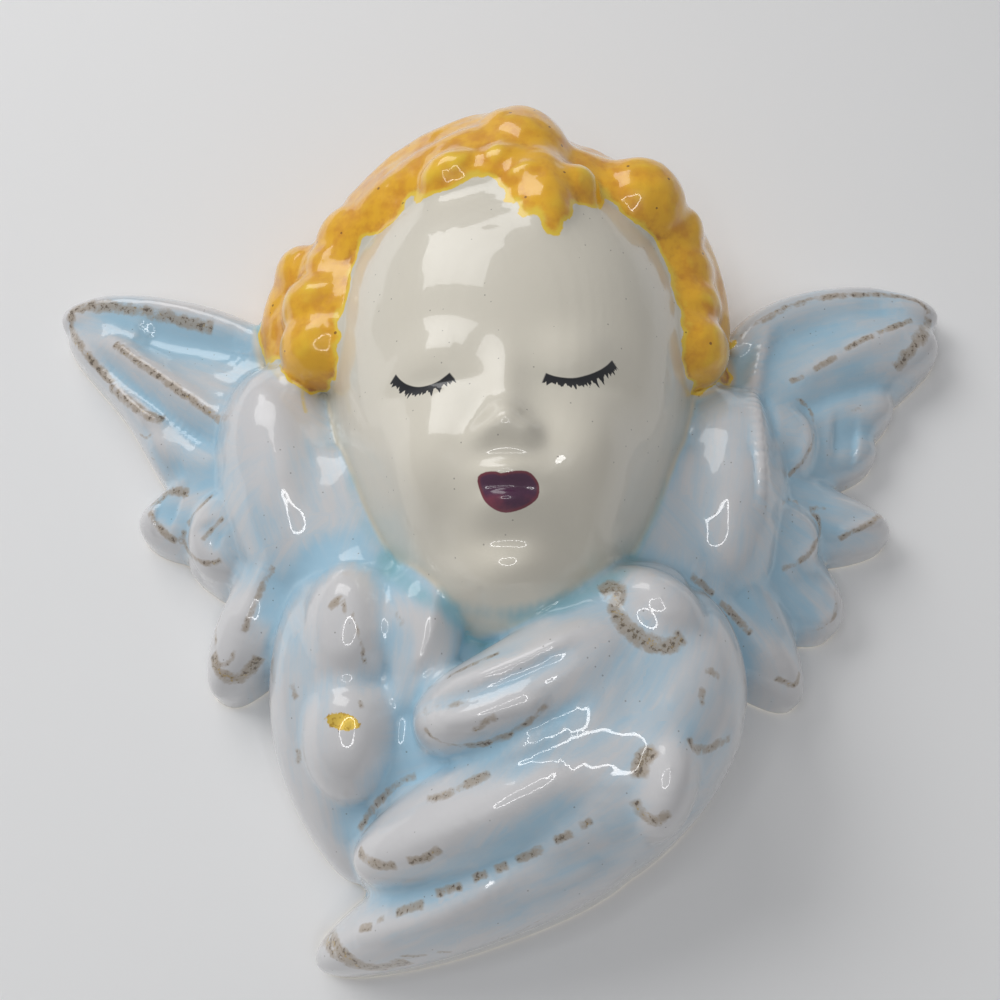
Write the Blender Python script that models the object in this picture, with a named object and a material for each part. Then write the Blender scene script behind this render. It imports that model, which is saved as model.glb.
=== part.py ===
"""A slip-cast, glazed earthenware wall plaque: the head of a sleeping cherub between two raised wings,
with two smaller wings folded under its chin.

Metres, +Z up. The wall is the plane Y = 0, the flat back lies on it, and the face looks along -Y.
The origin is on the flat back, level with the bridge of the nose. It is one casting, so it is one solid.

The soft forms are laid out in millimetres on the wall. A lobe is a ball stretched along a short path, with
a half-width across the path, a crest height above the wall, and a roundness, which is how far down from the
crest its top curves before the sides drop to the wall. A knob is an egg, and a lock a round length of hair
along a path, that don't reach the wall. A stroke is a soft ridge or groove drawn on the joined surface along
a path.
"""

import math

import bmesh
import bpy
import numpy as np
from mathutils import Vector
from mathutils.bvhtree import BVHTree

MM = 0.001

# Driving dimensions of the head
FACE_CENTRE_X = -1.2
HEAD_TOP_Z = 60.0
CHIN_Z = -36.0
HEAD_HALF_WIDTH = 35.0
HEAD_WIDENING = 7.5
HEAD_DEPTH = 48.0
CROWN_FULLNESS = 2.8
JAW_FULLNESS = 3.5
HEAD_SQUARENESS = 2.3

# Manufacture: moulded sides lean out a little, the glaze rounds every edge, and the back is cut flat
BEHIND_WALL = 6.0
SIDE_DRAFT = 0.1
LOBE_WIDTH_FULLNESS = 2.6
LOBE_CREST_FULLNESS = 3.6
LOBE_SIDE_FULLNESS = 12
LOBE_SIDE_SQUARENESS = 0.2
LOCK_FULLNESS = 2.4
BALL_AROUND = 64
BALL_ALONG = 48
VOXEL = 1.0
GLAZE_PASSES = 5
RAISED_FILLING = 124
FOLDED_FILLING = 79
HAIR_FILLING = 34
FOLDED_BELOW = -22.0
FOLDED_WITHIN = 40.0
UNFILLED_RIM = 1.5
FACETS_KEPT = 0.064

# The recess in the back that the wall's nail goes in
NAIL_RECESS_Z = 34.0
NAIL_RECESS_WIDTH = 12.0
NAIL_RECESS_HEIGHT = 18.0
NAIL_RECESS_DEPTH = 14.0
NAIL_RECESS_CORNER = 3.0

# Lobes. Each row is path, half-widths, crests and roundness, given at the root, the middle and the tip.
LEFT_WING = (
    (((-38, 12), (-62, 23.5), (-90.5, 35.5)), (15, 13, 7.5), (13, 10, 8), 7.5),
    (((-43, 24), (-66, 34.5), (-91.5, 36.5)), (5, 5.5, 6.5), (17, 13, 11), 8),
    (((-42, 3), (-64, 19), (-89, 34)), (7, 6, 4.5), (18, 14, 11), 8),
    (((-61.5, 0.5), (-72.5, 18.5), (-89.5, 33.5)), (7, 5, 4.5), (13, 12, 10), 8),
    (((-44, -1), (-57, -5), (-71, -6.5)), (9, 8.5, 6), (13, 11.5, 9.5), 8.5),
    (((-48, -1), (-56, 2.5), (-64, 9)), (6, 6.5, 5), (16, 13.5, 12), 8),
    (((-44, -6), (-53, -12), (-59.5, -17)), (9, 7.5, 5), (12, 11, 9), 8),
    (((-50, -4.5), (-53.5, -11.5), (-50, -19)), (4.5, 5.5, 4.5), (17, 17, 15), 6),
    (((-34, -14), (-44, -25), (-52.5, -40)), (9, 8, 5.5), (20, 17, 12.5), 10),
    (((-45, 23), (-41.5, 0), (-31, -26)), (11.5, 13.5, 13), (21, 27, 24), 22),
)
RIGHT_WING = (
    (((38, 12), (60, 24), (87.5, 33)), (15, 14, 8), (13, 10, 8), 7.5),
    (((43, 25), (62, 36), (88, 37.5)), (6, 6.5, 6.5), (17, 13, 10.5), 8.5),
    (((42, 12), (62, 25), (87, 32)), (9, 10, 8.5), (16, 13, 10.5), 8.5),
    (((45, 4), (61, 13.5), (76.5, 18.5)), (8, 8, 5.5), (13, 11, 9), 8),
    (((44, 2), (57, 7), (72, 9)), (8, 7.5, 6.5), (14, 11.5, 9), 8),
    (((44, -5), (57, -6.5), (72.5, -8.5)), (8, 7.5, 5), (15, 13, 9.5), 8.5),
    (((42, -12), (51, -19), (60.5, -27)), (9, 8.5, 6.5), (15, 13, 9.5), 8.5),
    (((30, -14), (41, -27), (51.5, -41)), (9, 8.5, 4.5), (19, 17, 11), 9.5),
    (((45, 10), (51, 7), (57, 5.5)), (7, 7, 6), (18, 17, 15), 6),
    (((43, -9), (49, -12), (55.5, -15)), (7, 7, 6), (19, 18, 15.5), 6),
    (((42, 19), (38.5, -3), (34, -27)), (10.5, 13, 12.5), (20, 27, 24), 22),
)
FOLDED_LEFT_WING = (
    (((-27, -18), (-30, -42), (-26, -71)), (9, 11.5, 6), (27, 26, 13), 14),
    (((-25.5, -20), (-26.5, -31), (-25.5, -42.5)), (7.5, 8.4, 7), (29, 33, 29), 11),
    (((-25, -39), (-26, -48.5), (-25, -59)), (7.5, 8, 6.5), (28, 31, 26), 10),
    (((-20, -22), (-14.5, -32), (-18, -46)), (6, 6.5, 3.5), (29, 33, 28), 9),
)
FOLDED_RIGHT_WING = (
    (((30, -24), (19, -50), (-10, -71)), (10, 15.5, 10), (33, 37, 27), 20),
    (((22, -60), (-2, -70.5), (-32.5, -83.5)), (9, 8.5, 6), (29, 28, 14), 12),
    (((22, -47), (0, -58.5), (-25, -68.5)), (9, 9, 7), (36, 36, 28), 11),
    (((20, -32), (3, -42), (-15.5, -48.5)), (9, 8.5, 7), (38, 41, 37), 11),
    (((29, -24), (15, -31), (-1, -37)), (7, 8, 5), (33, 36, 33), 12),
    (((23, -25), (10, -46), (-4, -64)), (12, 17, 13), (35, 38, 32), 17),
)
BETWEEN_THE_WINGS = (
    (((-24, -28), (-6, -48), (12, -62)), (14, 20, 12), (20, 24, 22), 8),
    (((-34, 2), (-29, -15), (-20, -29)), (7, 8, 8), (26, 26, 25), 8),
    (((33, 2), (28, -15), (20, -29)), (7, 8, 8), (26, 26, 25), 8),
)

# Knobs of the folded right wing: x, z, height, radii and turn
COVERTS = (
    (22.5, -30, 29, (9.5, 10, 6.5), -32),
    (30.5, -44.5, 22, (6.5, 11, 10), 8),
    (22.5, -55.5, 28, (6, 11, 10), -12),
)

# Locks of hair run along a path of x, z and height, with a radius at the root, the middle and the tip
HAIR_LOCKS = (
    (((10, 57.5, 31), (-15, 54.5, 26), (-37, 41, 14)), (10.5, 9, 6.5)),
    (((8, 54, 38), (-14, 49.5, 33.5), (-36, 35.5, 20)), (6.5, 6.3, 6)),
    (((-3, 58, 28), (1.5, 53, 34), (3.5, 42, 38)), (10, 10, 8)),
    (((2, 53, 37), (4.5, 41, 41), (6.5, 29, 45)), (6, 6.5, 4.5)),
    (((5, 52, 34), (15, 48.5, 31), (25, 45, 28)), (8, 7, 8)),
    (((25, 52, 25), (33.5, 39, 19), (38.5, 20, 13)), (7.5, 6.8, 6)),
    (((-36, 45, 16), (-41, 31, 13), (-37.5, 17, 14)), (7, 7.5, 6.5)),
    (((-33, 40, 22), (-34.5, 28, 21), (-34.5, 16.5, 19)), (5.5, 5.5, 5.5)),
)

# Curls over the locks: x, z, height, radii and turn
CURLS = (
    (-1, 46, 18, (34, 22, 20.5), 0),
    (-9.5, 46, 39, (7, 6, 4.8), 15),
    (-1.5, 46.5, 40, (6, 6, 5), 0),
    (3, 42.5, 41.5, (5.5, 6, 4.6), 0),
    (10.2, 42.5, 39.5, (5.5, 6, 5), 20),
    (23, 46.5, 30, (9.5, 9.5, 9), -10),
    (31, 42, 25.5, (5, 6.5, 7), -25),
    (-39, 39, 15, (7, 9, 8), 25),
    (-36.5, 22, 19.5, (6, 6.5, 6), 0),
)
BACK_CURL_ROWS = ((22.0, 8.5, 15), (9.0, 9.5, 13))
CROWN_CENTRE_X = -1.2
CROWN_CENTRE_Z = 24.0
CROWN_RADIUS = 33.0

# Strokes. Each row is path, half-width and height, which is negative for a groove.
WING_STROKES = (
    (((-86, 37.5), (-75, 38.5), (-57, 33)), 2.2, 0.8),
    (((-74, 31), (-63, 28.5), (-50, 26)), 4.0, -1.6),
    (((-80, 30.5), (-66, 19.3), (-52, 8.6)), 2.0, 1.5),
    (((-82, 27), (-69, 15.5), (-54, 4.5)), 1.6, -1.1),
    (((-88, 32), (-77.5, 18.5), (-65, 10.5)), 2.0, 1.1),
    (((-70, 8), (-62, 4.5), (-54, 1.5)), 2.4, 0.8),
    (((-68, -1.5), (-64, -0.3), (-60, -1.5)), 1.5, 0.8),
    (((-67, -6), (-64.5, -6.2), (-62, -7)), 3.0, -1.3),
    (((-55, -10), (-53.5, -12.5), (-51.5, -14)), 2.4, -0.8),
    (((-42.5, -19), (-45, -24), (-47, -30)), 1.5, 0.9),
    (((43, 30), (60, 41), (80, 43)), 2.2, 0.8),
    (((52.5, 17.9), (66, 26.5), (80, 33.5)), 2.4, 0.9),
    (((49, 25), (64, 33.5), (79, 38)), 3.5, -0.9),
    (((52, 11), (64, 18), (75, 22)), 2.2, -0.8),
    (((51, 31), (45, 12), (44, -12)), 1.7, 1.6),
    (((47.5, 16), (48, 8), (47, -3)), 1.3, -0.9),
    (((52, 14), (56, 7), (50, -2)), 1.7, 1.0),
    (((47, -7.5), (55, -13), (47, -20)), 1.8, 1.0),
    (((61, 9), (64, 8.5), (67, 8)), 4.0, -1.2),
    (((60, -11), (65, -9.3), (71, -6.5)), 1.4, 0.9),
    (((58.5, -19.5), (59, -25), (53.5, -28.5)), 1.6, 0.7),
    (((30, -20.5), (38, -27.5), (49, -38)), 1.6, 1.0),
    (((37, -22), (44, -28), (52, -33)), 2.0, -0.8),
)
FOLDED_STROKES = (
    (((-13, -49), (-4, -48.6), (6, -46)), 2.4, 1.3),
    (((-14, -46), (-3, -43.8), (9, -38)), 1.6, -0.9),
    (((-13, -43.5), (-1, -40.5), (12, -34)), 1.8, 0.9),
    (((-22, -60), (-8, -55), (8, -49)), 1.8, 0.8),
    (((-20, -57.5), (-6, -52), (10, -46.5)), 1.8, -0.8),
    (((-30, -79), (-14, -75.5), (0, -70)), 1.8, 0.7),
    (((-18, -66.5), (-4, -61), (8, -55)), 2.6, 0.8),
    (((-26, -81), (-8, -74.5), (14, -61.5)), 2.6, 0.6),
    (((-36.5, -33), (-38, -42), (-36, -53)), 2.4, 0.7),
    (((-13.5, -26), (-12.5, -33), (-16, -40)), 1.5, 0.6),
)

# The face: x from the face's middle line, z, radii across and along, and how far it stands out
FACE_BOTH_SIDES = (
    (12.5, 9.5, 11.0, 7.5, -1.1),
    (12.5, 8.5, 6.6, 4.6, 2.0),
    (12.5, 3.2, 6.5, 1.7, -0.7),
    (13.6, -10.0, 8.8, 9.0, 4.2),
    (3.4, -7.4, 2.1, 2.1, 2.1),
    (9.8, -21.0, 4.2, 5.0, -1.5),
)
FACE_MIDDLE = (
    (0.0, 2.0, 3.2, 6.0, 1.4),
    (0.0, -5.7, 3.1, 3.5, 4.4),
    (0.0, -15.5, 7.0, 6.0, 2.6),
    (0.0, -13.4, 4.3, 1.8, 1.2),
    (0.0, -17.8, 3.6, 1.7, 1.2),
    (0.0, -22.0, 5.4, 2.6, -1.3),
    (0.0, -28.5, 8.0, 5.0, 3.2),
)
LIPS_X = 0.6
LIPS_Z = -15.4
LIPS_GROOVE = (3.8, 0.9, -0.9)

# Where the modelling is: the face's middle, half-sizes and height on the wall, and the limits of the strokes
FACE_MIDDLE_Z = -3.0
FACE_HALF_WIDTH = 31.0
FACE_HALF_HEIGHT = 36.0
FACE_FROM_HEIGHT = 24.0
FACE_FULL_HEIGHT = 38.0
WING_STROKES_UNDER = 26.0
FOLDED_STROKES_BELOW = -15.0
STEEPNESS_LIMIT = 1.6


def curve_point(path, s):
    """Points at s, from 0 to 1, on the parabola through the three points of a path."""
    start, middle, end = (np.asarray(p, float) for p in path)
    s = np.asarray(s, float)[:, None]
    return start * (1 - s) * (1 - 2 * s) + middle * 4 * s * (1 - s) + end * s * (2 * s - 1)


def end_rounding(c, power):
    """How full a lobe is at c, from -1 at its root to 1 at its tip. A higher power is blunter."""
    return (1 - np.clip(np.abs(c), 0, 1) ** power) ** (1 / power)


def shaped(value, power):
    return np.sign(value) * np.abs(value) ** power


def unit_ball(around, along):
    """The points and faces of a ball of radius 1, as arrays to bend into a form."""
    mesh = bmesh.new()
    bmesh.ops.create_uvsphere(mesh, u_segments=around, v_segments=along, radius=1.0)
    points = np.array([vertex.co for vertex in mesh.verts])
    faces = [[vertex.index for vertex in face.verts] for face in mesh.faces]
    mesh.free()
    return points, faces


def lobe(ball, path, half_widths, crests, roundness):
    """A ball stretched along a path on the wall, with its sides dropping past the wall's plane."""
    c = np.clip(ball[:, 2], -1, 1)
    angle = np.arctan2(ball[:, 1], ball[:, 0])
    across, out = np.cos(angle), np.sin(angle)
    s = (c + 1) / 2

    def along(three):
        return curve_point([[value] for value in three], s)[:, 0]

    width = along(half_widths) * end_rounding(c, LOBE_WIDTH_FULLNESS)
    shoulder = along(crests) - roundness
    top = shoulder + roundness * end_rounding(c, LOBE_CREST_FULLNESS) * np.abs(out)
    drop = np.abs(out) ** LOBE_SIDE_SQUARENESS * end_rounding(c, LOBE_SIDE_FULLNESS)
    bottom = shoulder - (shoulder + BEHIND_WALL) * drop
    above = out > 0
    height = np.where(above, top, bottom)
    flare = np.where(above, 0, SIDE_DRAFT * (shoulder - bottom))
    reach = np.where(above, width * across, (width + flare) * shaped(across, LOBE_SIDE_SQUARENESS))
    half_length = np.linalg.norm(np.subtract(path[2], path[0])) / 2
    stretched = s + c * flare / half_length / 2
    ahead = curve_point(path, s + 1e-3) - curve_point(path, s - 1e-3)
    ahead /= np.linalg.norm(ahead, axis=1)[:, None]
    side = np.stack([ahead[:, 1], -ahead[:, 0]], axis=1)
    place = curve_point(path, stretched) + side * reach[:, None]
    return np.stack([place[:, 0], -height, place[:, 1]], axis=1)


def knob(ball, x, z, height, radii, turn):
    """An egg clear of the wall. Turn is in degrees, seen from the front."""
    cosine, sine = math.cos(math.radians(turn)), math.sin(math.radians(turn))
    a, b, c = (ball * radii).T
    return np.stack([x + a * cosine - c * sine, b - height, z + a * sine + c * cosine], axis=1)


def lock(ball, path, radii):
    """A round lock of hair along a path of x, z and height."""
    c = np.clip(ball[:, 2], -1, 1)
    angle = np.arctan2(ball[:, 1], ball[:, 0])
    s = (c + 1) / 2
    radius = curve_point([[value] for value in radii], s)[:, 0] * end_rounding(c, LOCK_FULLNESS)
    ahead = curve_point(path, s + 1e-3) - curve_point(path, s - 1e-3)
    ahead /= np.linalg.norm(ahead, axis=1)[:, None]
    side = np.cross(ahead, (0, 0, 1))
    side /= np.linalg.norm(side, axis=1)[:, None]
    out = np.cross(side, ahead)
    round_it = side * np.cos(angle)[:, None] + out * np.sin(angle)[:, None]
    x, z, height = (curve_point(path, s) + round_it * radius[:, None]).T
    return np.stack([x, -height, z], axis=1)


def head(ball):
    """The skull and jaw: an egg standing on its narrow end, blunter in depth than in width."""
    middle, half = (HEAD_TOP_Z + CHIN_Z) / 2, (HEAD_TOP_Z - CHIN_Z) / 2
    c = np.clip(ball[:, 2], -1, 1)
    angle = np.arctan2(ball[:, 1], ball[:, 0])
    width = (HEAD_HALF_WIDTH + HEAD_WIDENING * c) * np.sqrt(1 - c * c)
    depth = HEAD_DEPTH * np.where(c > 0, end_rounding(c, CROWN_FULLNESS), end_rounding(c, JAW_FULLNESS))
    x = width * shaped(np.cos(angle), 2 / HEAD_SQUARENESS)
    y = depth * shaped(np.sin(angle), 2 / HEAD_SQUARENESS)
    return np.stack([x, y, middle + half * c], axis=1)


def back_curls():
    """Plainer curls behind the named ones, in rows round the crown down to the wall."""
    for height, size, count in BACK_CURL_ROWS:
        for i in range(count):
            angle = math.radians(-95 + 190 * i / (count - 1))
            swell = size * (1 + 0.1 * math.sin(2.7 * i))
            x = CROWN_CENTRE_X + CROWN_RADIUS * math.sin(angle)
            z = CROWN_CENTRE_Z + CROWN_RADIUS * math.cos(angle)
            yield x, z, height, (swell, swell, 0.9 * swell), 40 * math.sin(3.1 * i)


def forms_by_kind(ball):
    """The head, the hair and the wings, each as a list of the points of its forms."""
    hair = [lock(ball, *row) for row in HAIR_LOCKS] + [knob(ball, *row) for row in (*CURLS, *back_curls())]
    wings = [knob(ball, *row) for row in COVERTS]
    for lobes in (LEFT_WING, RIGHT_WING, FOLDED_LEFT_WING, FOLDED_RIGHT_WING, BETWEEN_THE_WINGS):
        wings += [lobe(ball, *row) for row in lobes]
    return [head(ball)], hair, wings


def faces_of(count, ball, faces):
    """The faces of the given number of balls, one after another."""
    return [[index + number * len(ball) for index in face] for number in range(count) for face in faces]


def overlapping_forms(ball, faces, kinds):
    """All the forms of the casting in one mesh, not yet joined."""
    forms = [form for kind in kinds for form in kind]
    data = bpy.data.meshes.new("cherub_plaque")
    data.from_pydata(np.concatenate(forms) * MM, [], faces_of(len(forms), ball, faces))
    obj = bpy.data.objects.new("cherub_plaque", data)
    bpy.context.scene.collection.objects.link(obj)
    return obj


def apply_modifiers(obj):
    graph = bpy.context.evaluated_depsgraph_get()
    made = bpy.data.meshes.new_from_object(obj.evaluated_get(graph))
    obj.modifiers.clear()
    obj.data = made


def fuse(obj):
    """Joins the forms in one skin and lets the glaze fill the creases between them."""
    remesh = obj.modifiers.new("one_skin", "REMESH")
    remesh.mode = "VOXEL"
    remesh.voxel_size = VOXEL * MM
    smooth = obj.modifiers.new("glaze", "SMOOTH")
    smooth.factor = 0.5
    smooth.iterations = GLAZE_PASSES
    apply_modifiers(obj)


def distances(points, forms, ball, faces):
    """How far each point is from the skin of the nearest of the forms, in millimetres."""
    tree = BVHTree.FromPolygons(np.concatenate(forms).tolist(), faces_of(len(forms), ball, faces))
    return np.array([tree.find_nearest(point)[3] for point in points])


def fill_creases(obj, kinds, ball, faces):
    """Raises the creases between the forms, as the glaze and the worn mould leave them."""
    points = read_points(obj)
    from_head, from_hair, from_wings = (distances(points, forms, ball, faces) for forms in kinds)
    folded = (points[:, 2] < FOLDED_BELOW) & (np.abs(points[:, 0]) < FOLDED_WITHIN)
    on_wings = from_wings < np.minimum(from_head, from_hair)
    filling = np.where(on_wings, np.where(folded, FOLDED_FILLING, RAISED_FILLING), HAIR_FILLING)
    ends = np.empty(len(obj.data.edges) * 2, np.int32)
    obj.data.edges.foreach_get("vertices", ends)
    first, second = ends.reshape(-1, 2).T
    neighbours = np.bincount(ends, minlength=len(points))
    for done in range(RAISED_FILLING):
        y = points[:, 1]
        around = np.bincount(first, y[second], len(points)) + np.bincount(second, y[first], len(points))
        deeper = around / neighbours - y
        filled = (deeper < 0) & (done < filling) & (y < -UNFILLED_RIM)
        points[:, 1] = y + np.where(filled, deeper, 0)
    obj.data.vertices.foreach_set("co", (points * MM).astype(np.float32).ravel())
    obj.data.update()


def stroke_relief(x, z, strokes):
    """The height of the ridges and grooves at each point, in millimetres."""
    out = np.zeros_like(x)
    for path, half_width, height in strokes:
        s = np.linspace(0, 1, 25)
        line = curve_point(path, s)
        apart = np.hypot(x[:, None] - line[:, 0], z[:, None] - line[:, 1])
        nearest = apart.argmin(axis=1)
        fade = np.clip(5 * np.minimum(s, 1 - s) + 0.15, 0, 1)[nearest]
        out += height * fade * np.exp(-((apart.min(axis=1) / half_width) ** 2))
    return out


def face_relief(x, z):
    """How far the modelled face stands out from the plain egg, in millimetres."""
    x = x - FACE_CENTRE_X
    out = np.zeros_like(x)
    for side_x, side_z, rx, rz, amount in FACE_BOTH_SIDES:
        for sign in (-1, 1):
            out += amount * np.exp(-(((x - sign * side_x) / rx) ** 2) - ((z - side_z) / rz) ** 2)
    for mid_x, mid_z, rx, rz, amount in FACE_MIDDLE:
        out += amount * np.exp(-(((x - mid_x) / rx) ** 2) - ((z - mid_z) / rz) ** 2)
    rx, rz, amount = LIPS_GROOVE
    out += amount * np.exp(-(((x - LIPS_X) / rx) ** 4) - ((z - LIPS_Z) / rz) ** 2)
    return out


def read_points(obj):
    points = np.empty(len(obj.data.vertices) * 3, np.float32)
    obj.data.vertices.foreach_get("co", points)
    return points.reshape(-1, 3).astype(float) / MM


def read_normals(obj):
    normals = np.empty(len(obj.data.vertices) * 3, np.float32)
    obj.data.vertices.foreach_get("normal", normals)
    return normals.reshape(-1, 3).astype(float)


def face_share(points):
    """1 on the front of the face and 0 away from it, with a soft edge between."""
    x, y, z = points.T
    outside = np.hypot((x - FACE_CENTRE_X) / FACE_HALF_WIDTH, (z - FACE_MIDDLE_Z) / FACE_HALF_HEIGHT)
    inwards = np.clip((1.15 - outside) / 0.6, 0, 1)
    outwards = np.clip((-y - FACE_FROM_HEIGHT) / (FACE_FULL_HEIGHT - FACE_FROM_HEIGHT), 0, 1)
    return inwards**2 * (3 - 2 * inwards) * outwards**2 * (3 - 2 * outwards)


def model_surface(obj):
    """Draws the face and the strokes on what faces away from the wall."""
    points = read_points(obj)
    facing = np.clip(-read_normals(obj)[:, 1] * STEEPNESS_LIMIT, 0, 1)
    x, y, z = points.T
    relief = face_share(points) * face_relief(x, z)
    relief += np.where(-y < WING_STROKES_UNDER, stroke_relief(x, z, WING_STROKES), 0)
    relief += np.where(z < FOLDED_STROKES_BELOW, stroke_relief(x, z, FOLDED_STROKES), 0)
    points[:, 1] -= relief * facing
    obj.data.vertices.foreach_set("co", (points * MM).astype(np.float32).ravel())
    obj.data.update()


def thin_out(obj):
    """Fewer and larger facets where the surface is plain."""
    decimate = obj.modifiers.new("facets", "DECIMATE")
    decimate.use_collapse_triangulate = True
    decimate.ratio = FACETS_KEPT
    apply_modifiers(obj)


def cut_flat_behind(obj):
    """Cuts off what reaches behind the wall's plane and closes the flat back."""
    mesh = bmesh.new()
    mesh.from_mesh(obj.data)
    everything = mesh.verts[:] + mesh.edges[:] + mesh.faces[:]
    wall = {"plane_co": (0, 0, 0), "plane_no": (0, 1, 0)}
    bmesh.ops.bisect_plane(mesh, geom=everything, dist=1e-6, clear_outer=True, **wall)
    rim = [edge for edge in mesh.edges if edge.is_boundary]
    bmesh.ops.edgeloop_fill(mesh, edges=rim)
    bmesh.ops.recalc_face_normals(mesh, faces=mesh.faces[:])
    bmesh.ops.triangulate(mesh, faces=[face for face in mesh.faces if len(face.verts) > 3])
    mesh.to_mesh(obj.data)
    mesh.free()


def cut_nail_recess(obj):
    """A blind slot in the flat back, behind the forehead."""
    mesh = bmesh.new()
    bmesh.ops.create_cube(mesh, size=1.0)
    size = Vector((NAIL_RECESS_WIDTH, 2 * NAIL_RECESS_DEPTH, NAIL_RECESS_HEIGHT)) * MM
    bmesh.ops.scale(mesh, vec=size, verts=mesh.verts)
    bmesh.ops.translate(mesh, vec=Vector((0, 0, NAIL_RECESS_Z)) * MM, verts=mesh.verts)
    deep = NAIL_RECESS_DEPTH * MM
    upright = [edge for edge in mesh.edges if abs(edge.verts[0].co.y - edge.verts[1].co.y) > deep]
    corner = NAIL_RECESS_CORNER * MM
    bmesh.ops.bevel(mesh, geom=upright, offset=corner, segments=3, affect="EDGES", profile=0.5)
    data = bpy.data.meshes.new("nail_recess")
    mesh.to_mesh(data)
    mesh.free()
    cutter = bpy.data.objects.new("nail_recess", data)
    bpy.context.scene.collection.objects.link(cutter)
    cutter.hide_render = True
    cutter.display_type = "WIRE"
    boolean = obj.modifiers.new("nail_recess", "BOOLEAN")
    boolean.operation = "DIFFERENCE"
    boolean.object = cutter
    apply_modifiers(obj)
    bpy.data.objects.remove(cutter)


def glaze_material():
    material = bpy.data.materials.new("tin_glaze")
    material.use_nodes = True
    shader = material.node_tree.nodes["Principled BSDF"]
    shader.inputs["Base Color"].default_value = (0.62, 0.65, 0.68, 1.0)
    shader.inputs["Roughness"].default_value = 0.12
    shader.inputs["Metallic"].default_value = 0.0
    return material


def main():
    for old in list(bpy.data.objects):
        bpy.data.objects.remove(old)
    ball, faces = unit_ball(BALL_AROUND, BALL_ALONG)
    kinds = forms_by_kind(ball)
    plaque = overlapping_forms(ball, faces, kinds)
    fuse(plaque)
    fill_creases(plaque, kinds, ball, faces)
    model_surface(plaque)
    thin_out(plaque)
    cut_flat_behind(plaque)
    cut_nail_recess(plaque)
    plaque.data.materials.append(glaze_material())
    plaque.data.shade_smooth()


main()
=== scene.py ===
"""Looks of a slip-cast earthenware wall plaque: a sleeping cherub's head between raised wings, with two
smaller wings folded under the chin, under coloured glazes and worn gilding.

Metres and +Z up, with the wall at Y = 0 and the face towards -Y. Tables are in millimetres, apart from the
painted lines, which are in pixels of the 1000 by 1000 picture. The camera carries them on to the plaque.
"""

import math

import bmesh
import bpy
import numpy as np
from mathutils import Matrix, Vector, noise
from mathutils.bvhtree import BVHTree


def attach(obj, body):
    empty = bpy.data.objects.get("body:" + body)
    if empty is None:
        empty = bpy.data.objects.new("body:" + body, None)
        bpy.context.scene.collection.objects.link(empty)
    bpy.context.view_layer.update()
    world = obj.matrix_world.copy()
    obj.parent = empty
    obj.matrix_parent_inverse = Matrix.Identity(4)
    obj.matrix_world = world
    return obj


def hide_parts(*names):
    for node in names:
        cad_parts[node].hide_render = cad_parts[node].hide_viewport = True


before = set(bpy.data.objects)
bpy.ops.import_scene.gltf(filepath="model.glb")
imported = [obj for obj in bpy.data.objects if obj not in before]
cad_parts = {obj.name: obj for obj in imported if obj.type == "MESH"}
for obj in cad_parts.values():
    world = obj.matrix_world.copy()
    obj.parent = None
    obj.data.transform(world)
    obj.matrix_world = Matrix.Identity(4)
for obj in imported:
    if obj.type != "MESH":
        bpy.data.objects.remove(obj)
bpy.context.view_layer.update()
scene = bpy.context.scene
MM = 0.001

# The view
# The plaque was seen from close by and from a little below, so the camera looks twenty degrees up at it.
LOOKING_UP = math.radians(20)
EYE_DISTANCE = 207 * MM
FOCAL_PIXELS = 1050.0
PICTURE_PIXELS = 1000.0
SENSOR_WIDTH = 36.0
AIM = Vector((-2, 0, 0)) * MM
ahead = Vector((0, math.cos(LOOKING_UP), math.sin(LOOKING_UP)))
upward = Vector((0, -math.sin(LOOKING_UP), math.cos(LOOKING_UP)))
camera_data = bpy.data.cameras.new("camera")
camera_data.sensor_width = SENSOR_WIDTH
camera_data.lens = SENSOR_WIDTH * FOCAL_PIXELS / PICTURE_PIXELS
camera_data.clip_start = 0.01
camera = bpy.data.objects.new("camera", camera_data)
camera.location = AIM - ahead * EYE_DISTANCE
camera.rotation_euler = (math.radians(90) + LOOKING_UP, 0, 0)
scene.collection.objects.link(camera)
scene.camera = camera
scene.view_settings.view_transform = "Standard"


def linear(hex_colour):
    """A colour written as sRGB hex, as the linear value that a shader takes."""
    channels = [int(hex_colour[i : i + 2], 16) / 255 for i in (0, 2, 4)]
    return tuple(c / 12.92 if c <= 0.04045 else ((c + 0.055) / 1.055) ** 2.4 for c in channels) + (1.0,)


def node(tree, kind, inputs=None, **settings):
    """Adds a node with its settings, and with its inputs set to a value or linked."""
    made = tree.nodes.new(kind)
    for name, value in settings.items():
        setattr(made, name, value)
    for key, value in (inputs or {}).items():
        if isinstance(value, bpy.types.NodeSocket):
            tree.links.new(value, made.inputs[key])
        else:
            made.inputs[key].default_value = value
    return made


def new_object(name, mesh):
    """An object at the origin, made of a bmesh."""
    data = bpy.data.meshes.new(name)
    mesh.to_mesh(data)
    mesh.free()
    made = bpy.data.objects.new(name, data)
    scene.collection.objects.link(made)
    return made


def new_finish(name, settings):
    """A material, with its node tree, and with its shader set as given."""
    made = bpy.data.materials.new(name)
    made.use_nodes = True
    shader = made.node_tree.nodes["Principled BSDF"]
    for key, value in settings.items():
        shader.inputs[key].default_value = value
    return made, made.node_tree, shader


# The wall
# A plain pale wall, painted matt, that the plaque hangs on. It shows from its front only, so that the
# plaque's back can be seen.
WALL_GAP = 0.4
WALL_HALF_WIDTH = 2.0
mesh = bmesh.new()
bmesh.ops.create_grid(mesh, x_segments=1, y_segments=1, size=WALL_HALF_WIDTH)
bmesh.ops.rotate(mesh, verts=mesh.verts, matrix=Matrix.Rotation(math.radians(90), 3, "X"))
bmesh.ops.translate(mesh, vec=(0, WALL_GAP * MM, 0), verts=mesh.verts)
wall = new_object("wall", mesh)
wall.visible_shadow = False

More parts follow.
